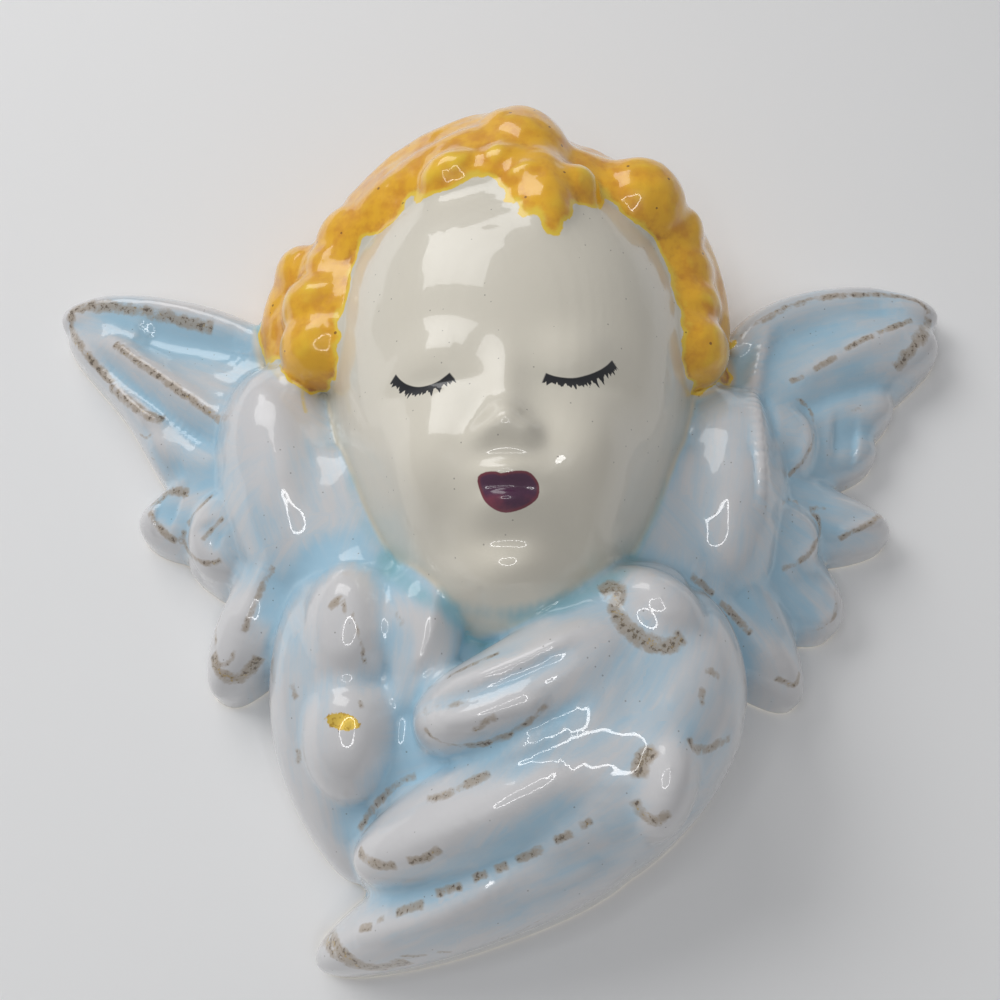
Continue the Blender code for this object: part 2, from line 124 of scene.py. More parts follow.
matt = {"Base Color": linear("efefef"), "Roughness": 0.8, "Specular IOR Level": 0.2}
paint, tree, shader = new_finish("matt_wall_paint", matt)
behind = node(tree, "ShaderNodeNewGeometry")
clear = node(tree, "ShaderNodeBsdfTransparent")
sides = {0: behind.outputs["Backfacing"], 1: shader.outputs[0], 2: clear.outputs[0]}
one_sided = node(tree, "ShaderNodeMixShader", sides)
tree.links.new(one_sided.outputs[0], tree.nodes["Material Output"].inputs["Surface"])
wall.data.materials.append(paint)

# The head
# Earthenware, cast hollow from slip in a two-part mould. The skull and jaw are one egg standing on its
# narrow end, and the face is modelled on it later.
FACE_CENTRE_X = -1.2
HEAD_TOP_Z = 60.0
CHIN_Z = -36.0
HEAD_HALF_WIDTH = 35.0
HEAD_WIDENING = 7.5
HEAD_DEPTH = 48.0
HEAD_SQUARENESS = 2.3
CROWN_FULLNESS = 2.8
JAW_FULLNESS = 3.5
ball_maker = bmesh.new()
bmesh.ops.create_uvsphere(ball_maker, u_segments=64, v_segments=48, radius=1.0)
ball_mesh = bpy.data.meshes.new("ball")
ball_maker.to_mesh(ball_mesh)
ball = np.array([vertex.co for vertex in ball_maker.verts])
ball_maker.free()


def end_rounding(c, power):
    """How full a form is at c, from -1 at its root to 1 at its tip. A higher power is blunter."""
    return (1 - np.clip(np.abs(c), 0, 1) ** power) ** (1 / power)


def shaped(value, power):
    """A value raised to a power, with its sign kept."""
    return np.sign(value) * np.abs(value) ** power


def head_form():
    """The head's egg, blunter in depth than in width."""
    middle, half = (HEAD_TOP_Z + CHIN_Z) / 2, (HEAD_TOP_Z - CHIN_Z) / 2
    c = np.clip(ball[:, 2], -1, 1)
    angle = np.arctan2(ball[:, 1], ball[:, 0])
    width = (HEAD_HALF_WIDTH + HEAD_WIDENING * c) * np.sqrt(1 - c * c)
    depth = HEAD_DEPTH * np.where(c > 0, end_rounding(c, CROWN_FULLNESS), end_rounding(c, JAW_FULLNESS))
    x = width * shaped(np.cos(angle), 2 / HEAD_SQUARENESS)
    y = depth * shaped(np.sin(angle), 2 / HEAD_SQUARENESS)
    return np.stack([x, y, middle + half * c], axis=1)


head_forms = [head_form()]

# The hair
# Short wavy hair, modelled as soft overlapping locks on the same casting: long ones swept from the brow,
# curls beside the face, and plainer ones behind them. Locks run along a path of x, z and height, with a
# radius at the root, the middle and the tip.
HAIR_LOCKS = (
    (((10, 57.5, 31), (-15, 54.5, 26), (-37, 41, 14)), (10.5, 9, 6.5)),
    (((8, 54, 38), (-14, 49.5, 33.5), (-36, 35.5, 20)), (6.5, 6.3, 6)),
    (((-3, 58, 28), (1.5, 53, 34), (3.5, 42, 38)), (10, 10, 8)),
    (((2, 53, 37), (4.5, 41, 41), (6.5, 29, 45)), (6, 6.5, 4.5)),
    (((5, 52, 34), (15, 48.5, 31), (25, 45, 28)), (8, 7, 8)),
    (((25, 52, 25), (33.5, 39, 19), (38.5, 20, 13)), (7.5, 6.8, 6)),
    (((-36, 45, 16), (-41, 31, 13), (-37.5, 17, 14)), (7, 7.5, 6.5)),
    (((-33, 40, 22), (-34.5, 28, 21), (-34.5, 16.5, 19)), (5.5, 5.5, 5.5)),
)
# Curls are eggs: x, z, height, radii, and turn seen from the front.
CURLS = (
    (-1, 46, 18, (34, 22, 20.5), 0),
    (-9.5, 46, 39, (7, 6, 4.8), 15),
    (-1.5, 46.5, 40, (6, 6, 5), 0),
    (3, 42.5, 41.5, (5.5, 6, 4.6), 0),
    (10.2, 42.5, 39.5, (5.5, 6, 5), 20),
    (23, 46.5, 30, (9.5, 9.5, 9), -10),
    (31, 42, 25.5, (5, 6.5, 7), -25),
    (-39, 39, 15, (7, 9, 8), 25),
    (-36.5, 22, 19.5, (6, 6.5, 6), 0),
)
# Rows of curls round the crown are height, size and how many.
BACK_CURL_ROWS = ((22.0, 8.5, 15), (9.0, 9.5, 13))
BACK_CURLS_SWEEP = 190.0
CROWN_CENTRE_X = -1.2
CROWN_CENTRE_Z = 24.0
CROWN_RADIUS = 33.0
LOCK_FULLNESS = 2.4


def curve_point(path, s):
    """Points at s, from 0 to 1, on the parabola through the three points of a path."""
    start, middle, end = (np.asarray(p, float) for p in path)
    s = np.asarray(s, float)[:, None]
    return start * (1 - s) * (1 - 2 * s) + middle * 4 * s * (1 - s) + end * s * (2 * s - 1)


def heading(path, s):
    """The direction that a path runs in at s."""
    run = curve_point(path, s + 1e-3) - curve_point(path, s - 1e-3)
    return run / np.linalg.norm(run, axis=1)[:, None]


def lock(path, radii):
    """A round lock of hair along a path of x, z and height."""
    c = np.clip(ball[:, 2], -1, 1)
    angle = np.arctan2(ball[:, 1], ball[:, 0])
    s = (c + 1) / 2
    radius = curve_point([[value] for value in radii], s)[:, 0] * end_rounding(c, LOCK_FULLNESS)
    run = heading(path, s)
    side = np.cross(run, (0, 0, 1))
    side /= np.linalg.norm(side, axis=1)[:, None]
    out = np.cross(side, run)
    round_it = side * np.cos(angle)[:, None] + out * np.sin(angle)[:, None]
    x, z, height = (curve_point(path, s) + round_it * radius[:, None]).T
    return np.stack([x, -height, z], axis=1)


def knob(x, z, height, radii, turn):
    """An egg clear of the wall."""
    cosine, sine = math.cos(math.radians(turn)), math.sin(math.radians(turn))
    a, b, c = (ball * radii).T
    return np.stack([x + a * cosine - c * sine, b - height, z + a * sine + c * cosine], axis=1)


hair_forms = [lock(*row) for row in HAIR_LOCKS] + [knob(*row) for row in CURLS]
for height, size, count in BACK_CURL_ROWS:
    for i in range(count):
        angle = math.radians(-BACK_CURLS_SWEEP / 2 + BACK_CURLS_SWEEP * i / (count - 1))
        swell = size * (1 + 0.1 * math.sin(2.7 * i))
        x = CROWN_CENTRE_X + CROWN_RADIUS * math.sin(angle)
        z = CROWN_CENTRE_Z + CROWN_RADIUS * math.cos(angle)
        hair_forms.append(knob(x, z, height, (swell, swell, 0.9 * swell), 40 * math.sin(3.1 * i)))

# The raised wings
# Feathers modelled as soft lobes that run out from the head, part of the same casting. Each row is path,
# half-widths, crests and roundness, given at the root, the middle and the tip.
BEHIND_WALL = 6.0
SIDE_DRAFT = 0.1
LOBE_WIDTH_FULLNESS = 2.6
LOBE_CREST_FULLNESS = 3.6
LOBE_SIDE_FULLNESS = 12
LOBE_SIDE_SQUARENESS = 0.2
LEFT_WING = (
    (((-38, 12), (-62, 23.5), (-90.5, 35.5)), (15, 13, 7.5), (13, 10, 8), 7.5),
    (((-43, 24), (-66, 34.5), (-91.5, 36.5)), (5, 5.5, 6.5), (17, 13, 11), 8),
    (((-42, 3), (-64, 19), (-89, 34)), (7, 6, 4.5), (18, 14, 11), 8),
    (((-61.5, 0.5), (-72.5, 18.5), (-89.5, 33.5)), (7, 5, 4.5), (13, 12, 10), 8),
    (((-44, -1), (-57, -5), (-71, -6.5)), (9, 8.5, 6), (13, 11.5, 9.5), 8.5),
    (((-48, -1), (-56, 2.5), (-64, 9)), (6, 6.5, 5), (16, 13.5, 12), 8),
    (((-44, -6), (-53, -12), (-59.5, -17)), (9, 7.5, 5), (12, 11, 9), 8),
    (((-50, -4.5), (-53.5, -11.5), (-50, -19)), (4.5, 5.5, 4.5), (17, 17, 15), 6),
    (((-34, -14), (-44, -25), (-52.5, -40)), (9, 8, 5.5), (20, 17, 12.5), 10),
    (((-45, 23), (-41.5, 0), (-31, -26)), (11.5, 13.5, 13), (21, 27, 24), 22),
)
RIGHT_WING = (
    (((38, 12), (60, 24), (87.5, 33)), (15, 14, 8), (13, 10, 8), 7.5),
    (((43, 25), (62, 36), (88, 37.5)), (6, 6.5, 6.5), (17, 13, 10.5), 8.5),
    (((42, 12), (62, 25), (87, 32)), (9, 10, 8.5), (16, 13, 10.5), 8.5),
    (((45, 4), (61, 13.5), (76.5, 18.5)), (8, 8, 5.5), (13, 11, 9), 8),
    (((44, 2), (57, 7), (72, 9)), (8, 7.5, 6.5), (14, 11.5, 9), 8),
    (((44, -5), (57, -6.5), (72.5, -8.5)), (8, 7.5, 5), (15, 13, 9.5), 8.5),
    (((42, -12), (51, -19), (60.5, -27)), (9, 8.5, 6.5), (15, 13, 9.5), 8.5),
    (((30, -14), (41, -27), (51.5, -41)), (9, 8.5, 4.5), (19, 17, 11), 9.5),
    (((45, 10), (51, 7), (57, 5.5)), (7, 7, 6), (18, 17, 15), 6),
    (((43, -9), (49, -12), (55.5, -15)), (7, 7, 6), (19, 18, 15.5), 6),
    (((42, 19), (38.5, -3), (34, -27)), (10.5, 13, 12.5), (20, 27, 24), 22),
)


def lobe(path, half_widths, crests, roundness):
    """A ball stretched along a path on the wall, with its sides dropping past the wall's plane."""
    c = np.clip(ball[:, 2], -1, 1)
    angle = np.arctan2(ball[:, 1], ball[:, 0])
    across, out = np.cos(angle), np.sin(angle)
    s = (c + 1) / 2
    width = curve_point([[value] for value in half_widths], s)[:, 0] * end_rounding(c, LOBE_WIDTH_FULLNESS)
    shoulder = curve_point([[value] for value in crests], s)[:, 0] - roundness
    top = shoulder + roundness * end_rounding(c, LOBE_CREST_FULLNESS) * np.abs(out)
    drop = (shoulder + BEHIND_WALL) * np.abs(out) ** LOBE_SIDE_SQUARENESS
    bottom = shoulder - drop * end_rounding(c, LOBE_SIDE_FULLNESS)
    above = out > 0
    height = np.where(above, top, bottom)
    flare = np.where(above, 0, SIDE_DRAFT * (shoulder - bottom))
    reach = np.where(above, width * across, (width + flare) * shaped(across, LOBE_SIDE_SQUARENESS))
    half_length = np.linalg.norm(np.subtract(path[2], path[0])) / 2
    stretched = s + c * flare / half_length / 2
    run = heading(path, s)
    side = np.stack([run[:, 1], -run[:, 0]], axis=1)
    place = curve_point(path, stretched) + side * reach[:, None]
    return np.stack([place[:, 0], -height, place[:, 1]], axis=1)


wing_forms = [lobe(*row) for row in (*LEFT_WING, *RIGHT_WING)]

# The folded wings
# Two smaller wings crossed under the chin, part of the same casting: three long feathers, the knobbed
# shoulders, and the round ends of the short feathers on the right one.
FOLDED_LEFT_WING = (
    (((-27, -18), (-30, -42), (-26, -71)), (9, 11.5, 6), (27, 26, 13), 14),
    (((-25.5, -20), (-26.5, -31), (-25.5, -42.5)), (7.5, 8.4, 7), (29, 33, 29), 11),
    (((-25, -39), (-26, -48.5), (-25, -59)), (7.5, 8, 6.5), (28, 31, 26), 10),
    (((-20, -22), (-14.5, -32), (-18, -46)), (6, 6.5, 3.5), (29, 33, 28), 9),
)
FOLDED_RIGHT_WING = (
    (((30, -24), (19, -50), (-10, -71)), (10, 15.5, 10), (33, 37, 27), 20),
    (((22, -60), (-2, -70.5), (-32.5, -83.5)), (9, 8.5, 6), (29, 28, 14), 12),
    (((22, -47), (0, -58.5), (-25, -68.5)), (9, 9, 7), (36, 36, 28), 11),
    (((20, -32), (3, -42), (-15.5, -48.5)), (9, 8.5, 7), (38, 41, 37), 11),
    (((29, -24), (15, -31), (-1, -37)), (7, 8, 5), (33, 36, 33), 12),
    (((23, -25), (10, -46), (-4, -64)), (12, 17, 13), (35, 38, 32), 17),
)
BETWEEN_THE_WINGS = (
    (((-24, -28), (-6, -48), (12, -62)), (14, 20, 12), (20, 24, 22), 8),
    (((-34, 2), (-29, -15), (-20, -29)), (7, 8, 8), (26, 26, 25), 8),
    (((33, 2), (28, -15), (20, -29)), (7, 8, 8), (26, 26, 25), 8),
)
COVERTS = (
    (22.5, -30, 29, (9.5, 10, 6.5), -32),
    (30.5, -44.5, 22, (6.5, 11, 10), 8),
    (22.5, -55.5, 28, (6, 11, 10), -12),
)
wing_forms += [lobe(*row) for row in (*FOLDED_LEFT_WING, *FOLDED_RIGHT_WING, *BETWEEN_THE_WINGS)]
wing_forms += [knob(*row) for row in COVERTS]

# The casting
# All the forms are one casting. They are joined in one skin, the creases are filled as slip and glaze fill
# them, and the back is cut flat, with the slot that the wall's nail goes in.
VOXEL = 0.75
CREASE_FILLING = 8
RAISED_FILLING = 220
FOLDED_FILLING = 140
HAIR_FILLING = 60
FACE_SMOOTHING = 25
EDGE_SMOOTHING = 4
FOLDED_BELOW = -22.0
FOLDED_WITHIN = 40.0
UNFILLED_RIM = 1.5
SMOOTH_FACE_INSIDE = 1.5
SMOOTH_FACE_ABOVE = 20.0
HAIR_EDGE = 1.5
FACE_EDGE = 2.0
STEEPNESS_LIMIT = 1.6
WAVES = ((8.0, 0.28), (3.2, 0.07))
HAIR_WAVES = ((4.5, 0.32), (1.8, 0.16))
NAIL_SLOT = (12.0, 28.0, 18.0)
NAIL_SLOT_Z = 34.0
NAIL_SLOT_CORNER = 3.0
all_forms = head_forms + hair_forms + wing_forms
clay = bmesh.new()
for form in all_forms:
    clay.from_mesh(ball_mesh)
plaque = new_object("cherub_plaque_glazed", clay)
plaque.data.vertices.foreach_set("co", (np.concatenate(all_forms) * MM).astype(np.float32).ravel())


def apply_modifiers(piece):
    """Gives a piece the mesh that its modifiers make of it."""
    graph = bpy.context.evaluated_depsgraph_get()
    made = bpy.data.meshes.new_from_object(piece.evaluated_get(graph))
    piece.modifiers.clear()
    piece.data = made


remesh = plaque.modifiers.new("one_skin", "REMESH")
remesh.mode = "VOXEL"
remesh.voxel_size = VOXEL * MM
smooth = plaque.modifiers.new("crease_filling", "SMOOTH")
smooth.factor = 0.5
smooth.iterations = CREASE_FILLING
apply_modifiers(plaque)

mesh = bmesh.new()
mesh.from_mesh(plaque.data)
everything = mesh.verts[:] + mesh.edges[:] + mesh.faces[:]
wall_plane = {"plane_co": (0, 0, 0), "plane_no": (0, 1, 0)}
bmesh.ops.bisect_plane(mesh, geom=everything, dist=1e-6, clear_outer=True, **wall_plane)
bmesh.ops.edgeloop_fill(mesh, edges=[edge for edge in mesh.edges if edge.is_boundary])
bmesh.ops.recalc_face_normals(mesh, faces=mesh.faces[:])
mesh.to_mesh(plaque.data)
mesh.free()

mesh = bmesh.new()
bmesh.ops.create_cube(mesh, size=1.0)
bmesh.ops.scale(mesh, vec=Vector(NAIL_SLOT) * MM, verts=mesh.verts)
bmesh.ops.translate(mesh, vec=Vector((0, 0, NAIL_SLOT_Z)) * MM, verts=mesh.verts)
upright = [edge for edge in mesh.edges if abs(edge.verts[0].co.y - edge.verts[1].co.y) > 0.01]
corner = {"offset": NAIL_SLOT_CORNER * MM, "segments": 4, "profile": 0.5}
bmesh.ops.bevel(mesh, geom=upright, affect="EDGES", material=-1, **corner)
nail_slot = new_object("nail_slot", mesh)
cut = plaque.modifiers.new("nail_slot", "BOOLEAN")
cut.operation = "DIFFERENCE"
cut.object = nail_slot
apply_modifiers(plaque)
bpy.data.objects.remove(nail_slot)


def read_vectors(data, name):
    """The places or normals of a mesh's elements, one row each."""
    values = np.empty(len(data) * 3, np.float32)
    data.foreach_get(name, values)
    return values.reshape(-1, 3).astype(float)


def place_vertices(points):
    """Moves the plaque's vertices to points in millimetres."""
    plaque.data.vertices.foreach_set("co", (points * MM).astype(np.float32).ravel())
    plaque.data.update()


points = read_vectors(plaque.data.vertices, "co") / MM
number = len(points)
ends = np.empty(len(plaque.data.edges) * 2, np.int32)
plaque.data.edges.foreach_get("vertices", ends)
first, second = ends.reshape(-1, 2).T
neighbours = np.bincount(ends, minlength=number)


def neighbour_mean(values):
    """The mean of the neighbours' values at each vertex."""
    columns = []
    for column in values.T:
        total = np.bincount(first, column[second], number) + np.bincount(second, column[first], number)
        columns.append(total / neighbours)
    return np.stack(columns, axis=1)


def smoothed(values, passes):
    """The values after that many passes of taking the neighbours' mean."""
    for _ in range(passes):
        values = neighbour_mean(values)
    return values


def nearest_surface(forms, points):
    """How far each point is from the skin of the nearest of the forms, in millimetres."""
    maker = bmesh.new()
    for form in forms:
        maker.from_mesh(ball_mesh)
    joined = bpy.data.meshes.new("joined")
    maker.to_mesh(joined)
    maker.free()
    joined.vertices.foreach_set("co", np.concatenate(forms).astype(np.float32).ravel())
    maker = bmesh.new()
    maker.from_mesh(joined)
    tree = BVHTree.FromBMesh(maker)
    maker.free()
    bpy.data.meshes.remove(joined)
    return np.array([tree.find_nearest(point)[3] for point in points])


def keep_attribute(name, values):
    """Stores one value or one vector for each vertex, for the glaze's colours to read."""
    kind, field = ("FLOAT_VECTOR", "vector") if values.ndim == 2 else ("FLOAT", "value")
    attribute = plaque.data.attributes.new(name, kind, "POINT")
    attribute.data.foreach_set(field, values.astype(np.float32).ravel())


from_head = nearest_surface(head_forms, points)
from_hair = nearest_surface(hair_forms, points)
from_wings = nearest_surface(wing_forms, points)
inside_hair = np.minimum(from_head, from_wings) - from_hair
inside_face = np.minimum(from_hair, from_wings) - from_head
inside_hair, inside_face = smoothed(np.stack([inside_hair, inside_face], axis=1), EDGE_SMOOTHING).T
keep_attribute("hair", inside_hair)
keep_attribute("face", inside_face)
on_wings = from_wings < np.minimum(from_head, from_hair)
folded = (points[:, 2] < FOLDED_BELOW) & (np.abs(points[:, 0]) < FOLDED_WITHIN)
filling = np.where(on_wings, np.where(folded, FOLDED_FILLING, RAISED_FILLING), HAIR_FILLING)
for done in range(RAISED_FILLING):
    deeper = neighbour_mean(points)[:, 1] - points[:, 1]
    filled = (deeper < 0) & (done < filling) & (points[:, 1] < -UNFILLED_RIM)
    points[:, 1] += np.where(filled, deeper, 0)
for _ in range(FACE_SMOOTHING):
    level = neighbour_mean(points)[:, 1] - points[:, 1]
    cheeks = (inside_face > SMOOTH_FACE_INSIDE) & (points[:, 1] < -SMOOTH_FACE_ABOVE)
    points[:, 1] += np.where(cheeks, level, 0)


def unevenness(waves):
    """The waviness of a surface smoothed by hand, as the sum of noises of given length and height."""
    total = np.zeros(number)
    for length, height in waves:
        total += height * np.array([noise.noise(Vector(point) / length) for point in points])
    return total


in_hair = np.clip(inside_hair / HAIR_EDGE, 0, 1)
off_face = np.clip(1 - inside_face / FACE_EDGE, 0, 1)
hand_made = off_face * (in_hair * unevenness(HAIR_WAVES) + (1 - in_hair) * unevenness(WAVES))
place_vertices(points)
facing = np.clip(-read_vectors(plaque.data.vertices, "normal")[:, 1] * STEEPNESS_LIMIT, 0, 1)

# The modelled surface
# The face, the feathers' shafts and the grooves between them are low relief from the mould. Each stroke is
# path, half-width and height, negative for a groove. Each swelling of the face is x, z, radii and height.
WING_STROKES = (
    (((-86, 37.5), (-75, 38.5), (-57, 33)), 2.2, 0.8),
    (((-74, 31), (-63, 28.5), (-50, 26)), 4.0, -1.6),
    (((-80, 30.5), (-66, 19.3), (-52, 8.6)), 2.0, 1.5),
    (((-82, 27), (-69, 15.5), (-54, 4.5)), 1.6, -1.1),
    (((-88, 32), (-77.5, 18.5), (-65, 10.5)), 2.0, 1.1),
    (((-70, 8), (-62, 4.5), (-54, 1.5)), 2.4, 0.8),
    (((-68, -1.5), (-64, -0.3), (-60, -1.5)), 1.5, 0.8),
    (((-67, -6), (-64.5, -6.2), (-62, -7)), 3.0, -1.3),
    (((-55, -10), (-53.5, -12.5), (-51.5, -14)), 2.4, -0.8),
    (((-42.5, -19), (-45, -24), (-47, -30)), 1.5, 0.9),
    (((43, 30), (60, 41), (80, 43)), 2.2, 0.8),
    (((52.5, 17.9), (66, 26.5), (80, 33.5)), 2.4, 0.9),
    (((49, 25), (64, 33.5), (79, 38)), 3.5, -0.9),
    (((52, 11), (64, 18), (75, 22)), 2.2, -0.8),
    (((51, 31), (45, 12), (44, -12)), 1.7, 1.6),
    (((47.5, 16), (48, 8), (47, -3)), 1.3, -0.9),
    (((52, 14), (56, 7), (50, -2)), 1.7, 1.0),
    (((47, -7.5), (55, -13), (47, -20)), 1.8, 1.0),
    (((61, 9), (64, 8.5), (67, 8)), 4.0, -1.2),
    (((60, -11), (65, -9.3), (71, -6.5)), 1.4, 0.9),
    (((58.5, -19.5), (59, -25), (53.5, -28.5)), 1.6, 0.7),
    (((30, -20.5), (38, -27.5), (49, -38)), 1.6, 1.0),
    (((37, -22), (44, -28), (52, -33)), 2.0, -0.8),
)
FOLDED_STROKES = (
    (((-13, -49), (-4, -48.6), (6, -46)), 2.4, 1.3),
    (((-14, -46), (-3, -43.8), (9, -38)), 1.6, -0.9),
    (((-13, -43.5), (-1, -40.5), (12, -34)), 1.8, 0.9),
    (((-22, -60), (-8, -55), (8, -49)), 1.8, 0.8),
    (((-20, -57.5), (-6, -52), (10, -46.5)), 1.8, -0.8),
    (((-30, -79), (-14, -75.5), (0, -70)), 1.8, 0.7),
    (((-18, -66.5), (-4, -61), (8, -55)), 2.6, 0.8),
    (((-26, -81), (-8, -74.5), (14, -61.5)), 2.6, 0.6),
    (((-36.5, -33), (-38, -42), (-36, -53)), 2.4, 0.7),
    (((-13.5, -26), (-12.5, -33), (-16, -40)), 1.5, 0.6),
)
FACE_BOTH_SIDES = (
    (12.5, 9.5, 11.0, 7.5, -1.1),
    (12.5, 8.5, 6.6, 4.6, 2.0),
    (12.5, 3.2, 6.5, 1.7, -0.7),
    (13.6, -10.0, 8.8, 9.0, 4.2),
    (3.4, -7.4, 2.1, 2.1, 2.1),
    (9.8, -21.0, 4.2, 5.0, -1.5),
)
FACE_MIDDLE = (
    (0.0, 2.0, 3.2, 6.0, 1.4),
    (0.0, -5.7, 3.1, 3.5, 4.4),
    (0.0, -15.5, 7.0, 6.0, 2.6),
    (0.0, -13.4, 4.3, 1.8, 1.2),
    (0.0, -17.8, 3.6, 1.7, 1.2),
    (0.0, -22.0, 5.4, 2.6, -1.3),
    (0.0, -28.5, 8.0, 5.0, 3.2),
)
LIPS_X = 0.6
LIPS_Z = -15.4
LIPS_GROOVE = (3.8, 0.9, -0.9)
FACE_MIDDLE_Z = -3.0
FACE_HALF_WIDTH = 31.0
FACE_HALF_HEIGHT = 36.0
FACE_RIM = 1.15
FACE_RIM_WIDTH = 0.6
FACE_FROM_HEIGHT = 24.0
FACE_FULL_HEIGHT = 38.0
WING_STROKES_UNDER = 26.0
FOLDED_STROKES_BELOW = -15.0
PATH_POINTS = 25


def stroke_relief(x, z, strokes):
    """The height of the ridges and grooves at each point."""
    out = np.zeros_like(x)
    for path, half_width, height in strokes:
        s = np.linspace(0, 1, PATH_POINTS)
        line = curve_point(path, s)
        apart = np.hypot(x[:, None] - line[:, 0], z[:, None] - line[:, 1])
        nearest = apart.argmin(axis=1)
        fade = np.clip(5 * np.minimum(s, 1 - s) + 0.15, 0, 1)[nearest]
        out += height * fade * np.exp(-((apart.min(axis=1) / half_width) ** 2))
    return out


def face_relief(x, z):
    """How far the modelled face stands out from the plain egg."""
    x = x - FACE_CENTRE_X
    out = np.zeros_like(x)
    for side_x, side_z, rx, rz, amount in FACE_BOTH_SIDES:
        for sign in (-1, 1):
            out += amount * np.exp(-(((x - sign * side_x) / rx) ** 2) - ((z - side_z) / rz) ** 2)
    for mid_x, mid_z, rx, rz, amount in FACE_MIDDLE:
        out += amount * np.exp(-(((x - mid_x) / rx) ** 2) - ((z - mid_z) / rz) ** 2)
    rx, rz, amount = LIPS_GROOVE
    out += amount * np.exp(-(((x - LIPS_X) / rx) ** 4) - ((z - LIPS_Z) / rz) ** 2)
    return out


x, y, z = points.T
outside = np.hypot((x - FACE_CENTRE_X) / FACE_HALF_WIDTH, (z - FACE_MIDDLE_Z) / FACE_HALF_HEIGHT)
inwards = np.clip((FACE_RIM - outside) / FACE_RIM_WIDTH, 0, 1)
outwards = np.clip((-y - FACE_FROM_HEIGHT) / (FACE_FULL_HEIGHT - FACE_FROM_HEIGHT), 0, 1)
on_face = inwards**2 * (3 - 2 * inwards) * outwards**2 * (3 - 2 * outwards)
relief = on_face * face_relief(x, z)
relief += np.where(-y < WING_STROKES_UNDER, stroke_relief(x, z, WING_STROKES), 0)
relief += np.where(z < FOLDED_STROKES_BELOW, stroke_relief(x, z, FOLDED_STROKES), 0)
relief += hand_made
points[:, 1] -= relief * facing
place_vertices(points)

# The sprayed glazes
# Pale blue glaze was sprayed over the white one and pooled in the hollows, with teal round the jaw, and the
# yellow of the hair ran a little. Each wash is path in the picture, reach in pixels, and strength.
BLUE_WASHES = (
    (((120, 312), (170, 330), (240, 345)), 26, 1.0),
    (((95, 345), (140, 380), (190, 415)), 12, 0.3),
    (((170, 380), (205, 395), (235, 430)), 13, 0.3),
    (((150, 455), (180, 468), (215, 480)), 20, 0.75),
    (((158, 505), (168, 512), (178, 522)), 12, 1.0),
    (((200, 530), (215, 540), (222, 550)), 12, 0.4),
    (((250, 500), (265, 540), (262, 575)), 14, 0.7),
    (((285, 590), (310, 565), (352, 545)), 16, 1.0),
    (((345, 545), (400, 585), (440, 605)), 13, 0.9),
    (((270, 610), (282, 640), (272, 680)), 12, 0.8),
    (((320, 700), (330, 780), (360, 800)), 14, 0.5),
    (((400, 640), (415, 680), (405, 760)), 16, 0.8),
    (((390, 770), (360, 800), (345, 830)), 15, 0.8),
    (((470, 640), (520, 655), (560, 640)), 14, 0.5),
    (((440, 760), (520, 745), (590, 700)), 14, 0.7),
    (((385, 890), (450, 870), (560, 810)), 18, 0.8),
    (((380, 930), (440, 935), (520, 915)), 16, 0.7),
    (((560, 650), (600, 660), (640, 700)), 24, 0.4),
    (((560, 610), (600, 600), (650, 575)), 12, 0.6),
    (((655, 575), (700, 600), (760, 640)), 18, 0.75),
    (((760, 560), (800, 600), (825, 640)), 24, 0.85),
    (((735, 350), (800, 320), (900, 300)), 22, 0.7),
    (((880, 330), (900, 350), (870, 380)), 20, 0.6),
    (((760, 380), (775, 430), (770, 500)), 16, 0.5),
    (((850, 425), (865, 445), (850, 470)), 20, 1.0),
    (((800, 480), (840, 500), (870, 520)), 16, 0.6),
    (((740, 540), (760, 600), (740, 690)), 16, 0.7),
    (((690, 640), (670, 690), (690, 740)), 14, 0.4),
    (((100, 330), (160, 400), (230, 470)), 45, 0.4),
    (((760, 330), (840, 420), (800, 600)), 80, 0.75),
    (((690, 590), (760, 640), (800, 700)), 26, 0.6),
    (((350, 950), (480, 930), (620, 850)), 26, 0.5),
    (((600, 660), (680, 700), (700, 800)), 40, 0.45),
    (((350, 930), (450, 900), (560, 840)), 32, 0.5),
    (((420, 700), (480, 690), (560, 660)), 26, 0.4),
    (((600, 740), (650, 690), (690, 640)), 36, 0.35),
    (((300, 600), (290, 700), (330, 780)), 26, 0.3),
)
TEAL_WASHES = (
    (((385, 560), (430, 600), (500, 615)), 10, 0.9),
    (((500, 615), (570, 600), (630, 565)), 10, 0.9),
    (((350, 480), (360, 520), (392, 560)), 6, 0.5),
    (((662, 480), (655, 520), (630, 565)), 6, 0.5),
    (((440, 600), (462, 622), (480, 640)), 12, 0.8),
    (((262, 325), (268, 338), (272, 348)), 8, 1.2),
)
HAIR_DRIPS = (
    (((303, 386), (303, 400), (306, 412)), 3, 0.6),
    (((262, 345), (268, 362), (280, 378)), 5, 0.5),
)
WASH_SPREAD = 1.4
WASH_POINTS = 15
CREASE_PASSES = 10
HOLLOW_PASSES = 90
FEATHERS_APART = 20.0


